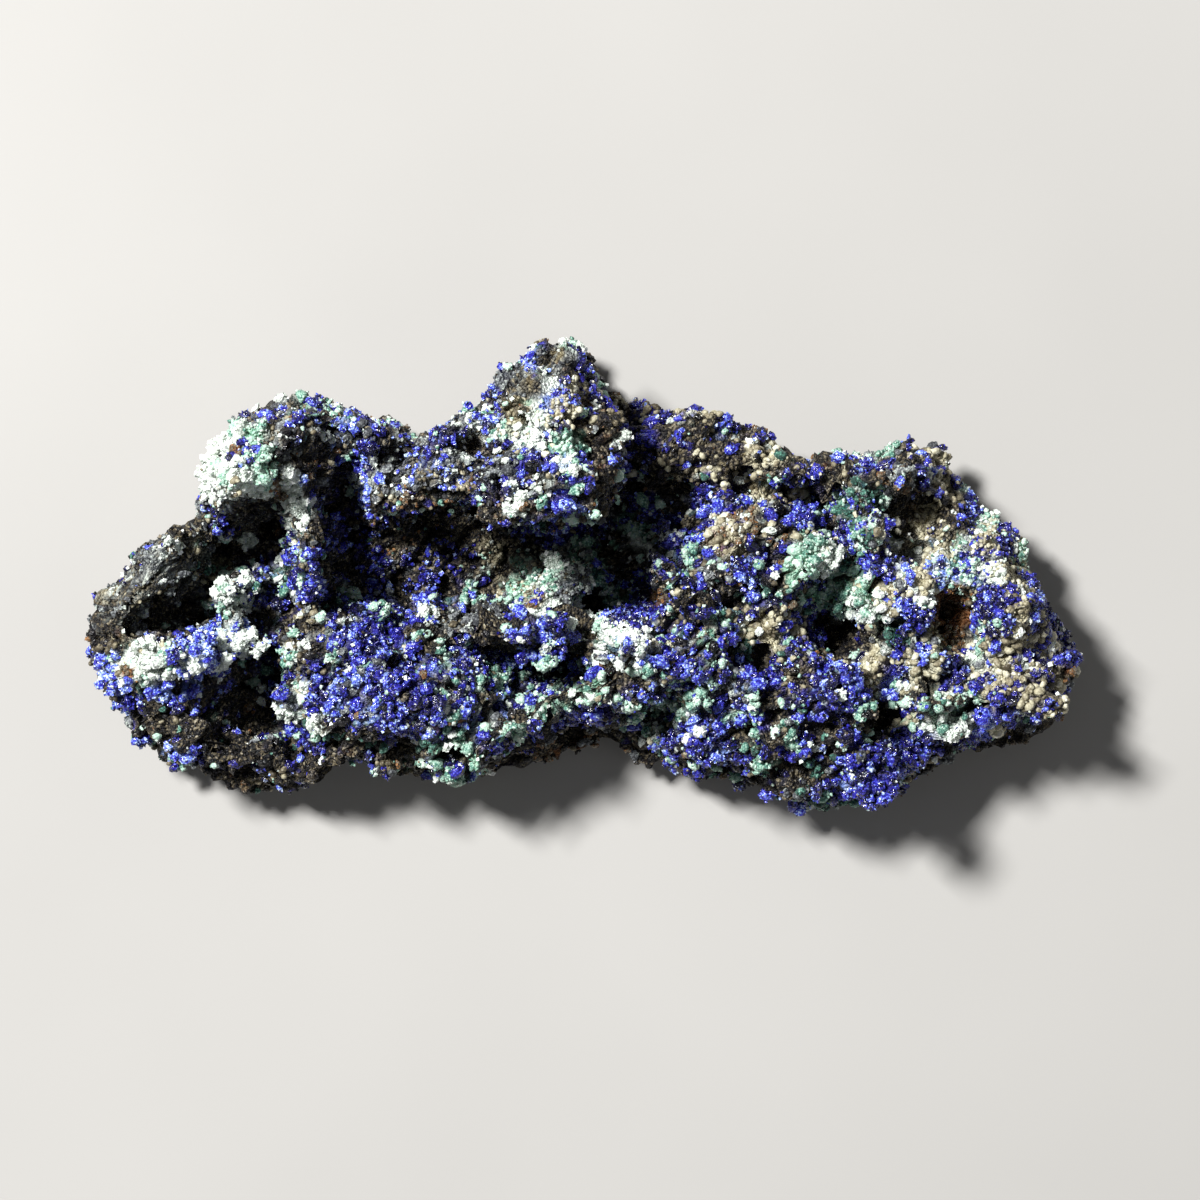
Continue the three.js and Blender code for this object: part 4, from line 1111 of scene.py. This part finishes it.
def toned(kinds, rng):
    """A tone at random for each grain, within the range of its kind."""
    low, high = of_kinds("tone", kinds).T
    return low + (high - low) * rng.random(len(kinds))


def sized(kinds, proportions, rng):
    """A size at random for each grain, a row of three, within the range of its kind."""
    low, high = of_kinds("size", kinds).T
    size = low + (high - low) * rng.random(len(kinds)) ** MORE_SMALL
    return size[:, None] * np.array(proportions) * rng.uniform(*GRAIN_UNEVEN, (len(kinds), 3))


def loose_on(points, shares, holds, upper, bare, rng):
    """The rock's points that carry a loose grain, and its kind."""
    winner = np.argmax(holds + rng.gumbel(0, LOOSE_LUCK, holds.shape), axis=1)
    drawn = kind_at(shares, rng.random(len(points)))
    winner = np.where(rng.random(len(points)) < LOOSE_MIXED, drawn, winner)
    chance = of_kinds("loose", winner) * upper * (1 - BARE_EMPTY * bare)
    loose = np.nonzero(rng.random(len(points)) < chance)[0]
    return loose, winner[loose]


def strewn(points, normals, shares, holds, tops, bare, deep, rng):
    """Every piece of growths and grains, seated on the rock. The seams and pits stay nearly empty."""
    upper = smoothstep(*UPPER_TURN, normals[:, 2]) * smoothstep(*UPPER_FROM, points[:, 2])
    growing = upper * (1 - bare) * (1 - DEEP_EMPTY * deep)
    carrying, radii, kinds = growths_on(points, shares, tops, growing, rng)
    run = bedding_run() + rng.normal(0, RUN_LUCK, (len(carrying), 3))
    axes = axes_along(normals[carrying], GROWTH_TILT, run, rng)
    seats, facing, seat_kinds = seats_on_growths(points[carrying], axes, radii, kinds, shares[carrying], rng)
    loose, loose_kinds = loose_on(points, shares, holds, upper, bare, rng)
    seats = np.concatenate([seats, points[loose] + rng.normal(0, LOOSE_SHIFT, (len(loose), 3))])
    facing = np.concatenate([facing, normals[loose]])
    seat_kinds = np.concatenate([seat_kinds, loose_kinds])
    shuffled = rng.permutation(len(seats))
    seats, facing, seat_kinds = seats[shuffled], facing[shuffled], seat_kinds[shuffled]
    round_shape = template(bead)
    for piece in PIECES:
        own_kinds = [KINDS.index(kind) for kind in piece["kinds"]]
        grown = np.nonzero(np.isin(kinds, own_kinds))[0][: piece["most"] // len(round_shape[1])]
        shape = template(piece["shape"])
        room = (piece["most"] - len(grown) * len(round_shape[1])) // len(shape[1])
        lying = np.nonzero(np.isin(seat_kinds, own_kinds))[0][:room]
        look = piece["material"]()
        for part in range(piece["parts"]):
            balls, bits = grown[part :: piece["parts"]], lying[part :: piece["parts"]]
            uneven = rng.uniform(*GROWTH_UNEVEN, (len(balls), 3))
            ball_sizes = 2 * radii[balls, None] * np.array(GROWTH_SHAPE) * uneven
            any_way = rng.normal(0, 1, (len(bits), 3))
            ball_tones = toned(kinds[balls], rng) * GROWTH_TONE
            bit_axes = axes_along(facing[bits], GRAIN_TILT, any_way, rng)
            bit_sizes = sized(seat_kinds[bits], piece["proportions"], rng)
            bit_tones = toned(seat_kinds[bits], rng)
            label = piece["name"] if piece["parts"] == 1 else f"{piece['name']}_{part + 1}"
            grains_piece = joined_grains(label, piece["smooth"], [
                (round_shape, GROWTH_SINK, points[carrying[balls]], axes[balls], ball_sizes, ball_tones),
                (shape, GRAIN_SINK, seats[bits], bit_axes, bit_sizes, bit_tones),
            ])
            grains_piece.data.materials.append(look)
            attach(grains_piece, "root")


# The studio, in metres: each light's name, place, size and power in watts, and the camera.
LIGHTS = [("key", (-0.34, 0.26, 0.64), 0.12, 11.4), ("fill", (0.5, -0.35, 0.5), 0.6, 0.45)]
CAMERA_SPOT = (0.00157, -0.00173, 0.35)
FRAME_WIDTH = 0.0945  # what the picture spans at the height of the specimen's middle
MID_HEIGHT = 0.012
SENSOR = 36  # width of the sensor, in millimetres


def studio():
    """A pale floor, soft light from the upper left, and a camera that looks straight down on the face."""
    bm = bmesh.new()
    bmesh.ops.create_grid(bm, x_segments=1, y_segments=1, size=1.5)
    mesh = bpy.data.meshes.new("floor")
    bm.to_mesh(mesh)
    bm.free()
    floor = linked("floor", mesh)
    material, tree, shader, coords = started("pale_floor")
    tone = mottle(tree, coords, 60.0, 3.0)
    tree.links.new(ramp(tree, tone, (0.3, "#B0AEAA"), (0.7, "#B6B4B0")), shader.inputs["Base Color"])
    shader.inputs["Roughness"].default_value = 0.9
    floor.data.materials.append(material)

    world = bpy.data.worlds.new("studio")
    world.use_nodes = True
    sky = world.node_tree.nodes["Background"]
    sky.inputs["Color"].default_value = linear("#F2F4F8")
    sky.inputs["Strength"].default_value = 0.1
    bpy.context.scene.world = world
    for name, spot, size, power in LIGHTS:
        lamp = bpy.data.lights.new(name, "AREA")
        lamp.size, lamp.energy = size, power
        light = linked(name, lamp)
        light.location = spot
        light.rotation_euler = (-Vector(spot)).to_track_quat("-Z", "Y").to_euler()
    bpy.context.scene.view_settings.view_transform = "Standard"

    lens = bpy.data.cameras.new("camera")
    lens.sensor_width = SENSOR
    lens.lens = SENSOR * (CAMERA_SPOT[2] - MID_HEIGHT) / FRAME_WIDTH
    camera = linked("camera", lens)
    camera.location = CAMERA_SPOT
    bpy.context.scene.camera = camera


def specimen():
    """The rock with its grains, riding on the CAD part and standing for it."""
    rng = np.random.default_rng(62)
    bm = solid_mesh()
    bmesh.ops.scale(bm, vec=(1 / MM, 1 / MM, 1 / MM), verts=bm.verts)
    surface = BVHTree.FromBMesh(bm)
    lumps = lumps_on(surface, rng)
    bm.free()
    rock, growths, deep = rough_rock(lumps)
    points, normals = surface_of(rock)
    covered = covered_from_above(rock, points, normals)
    shares = with_lumps(points, mixes_over(points, normals, covered), lumps, rng)
    bare = bare_over(points, normals)
    holds = holds_over(points, shares, growths, bare, deep)
    painted(rock, holds)
    rock.data.materials.append(limonite_rock())
    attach(rock, "root")
    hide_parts("specimen")
    strewn(points, normals, shares, holds, growths[0][0], bare, deep, rng)


specimen()
studio()
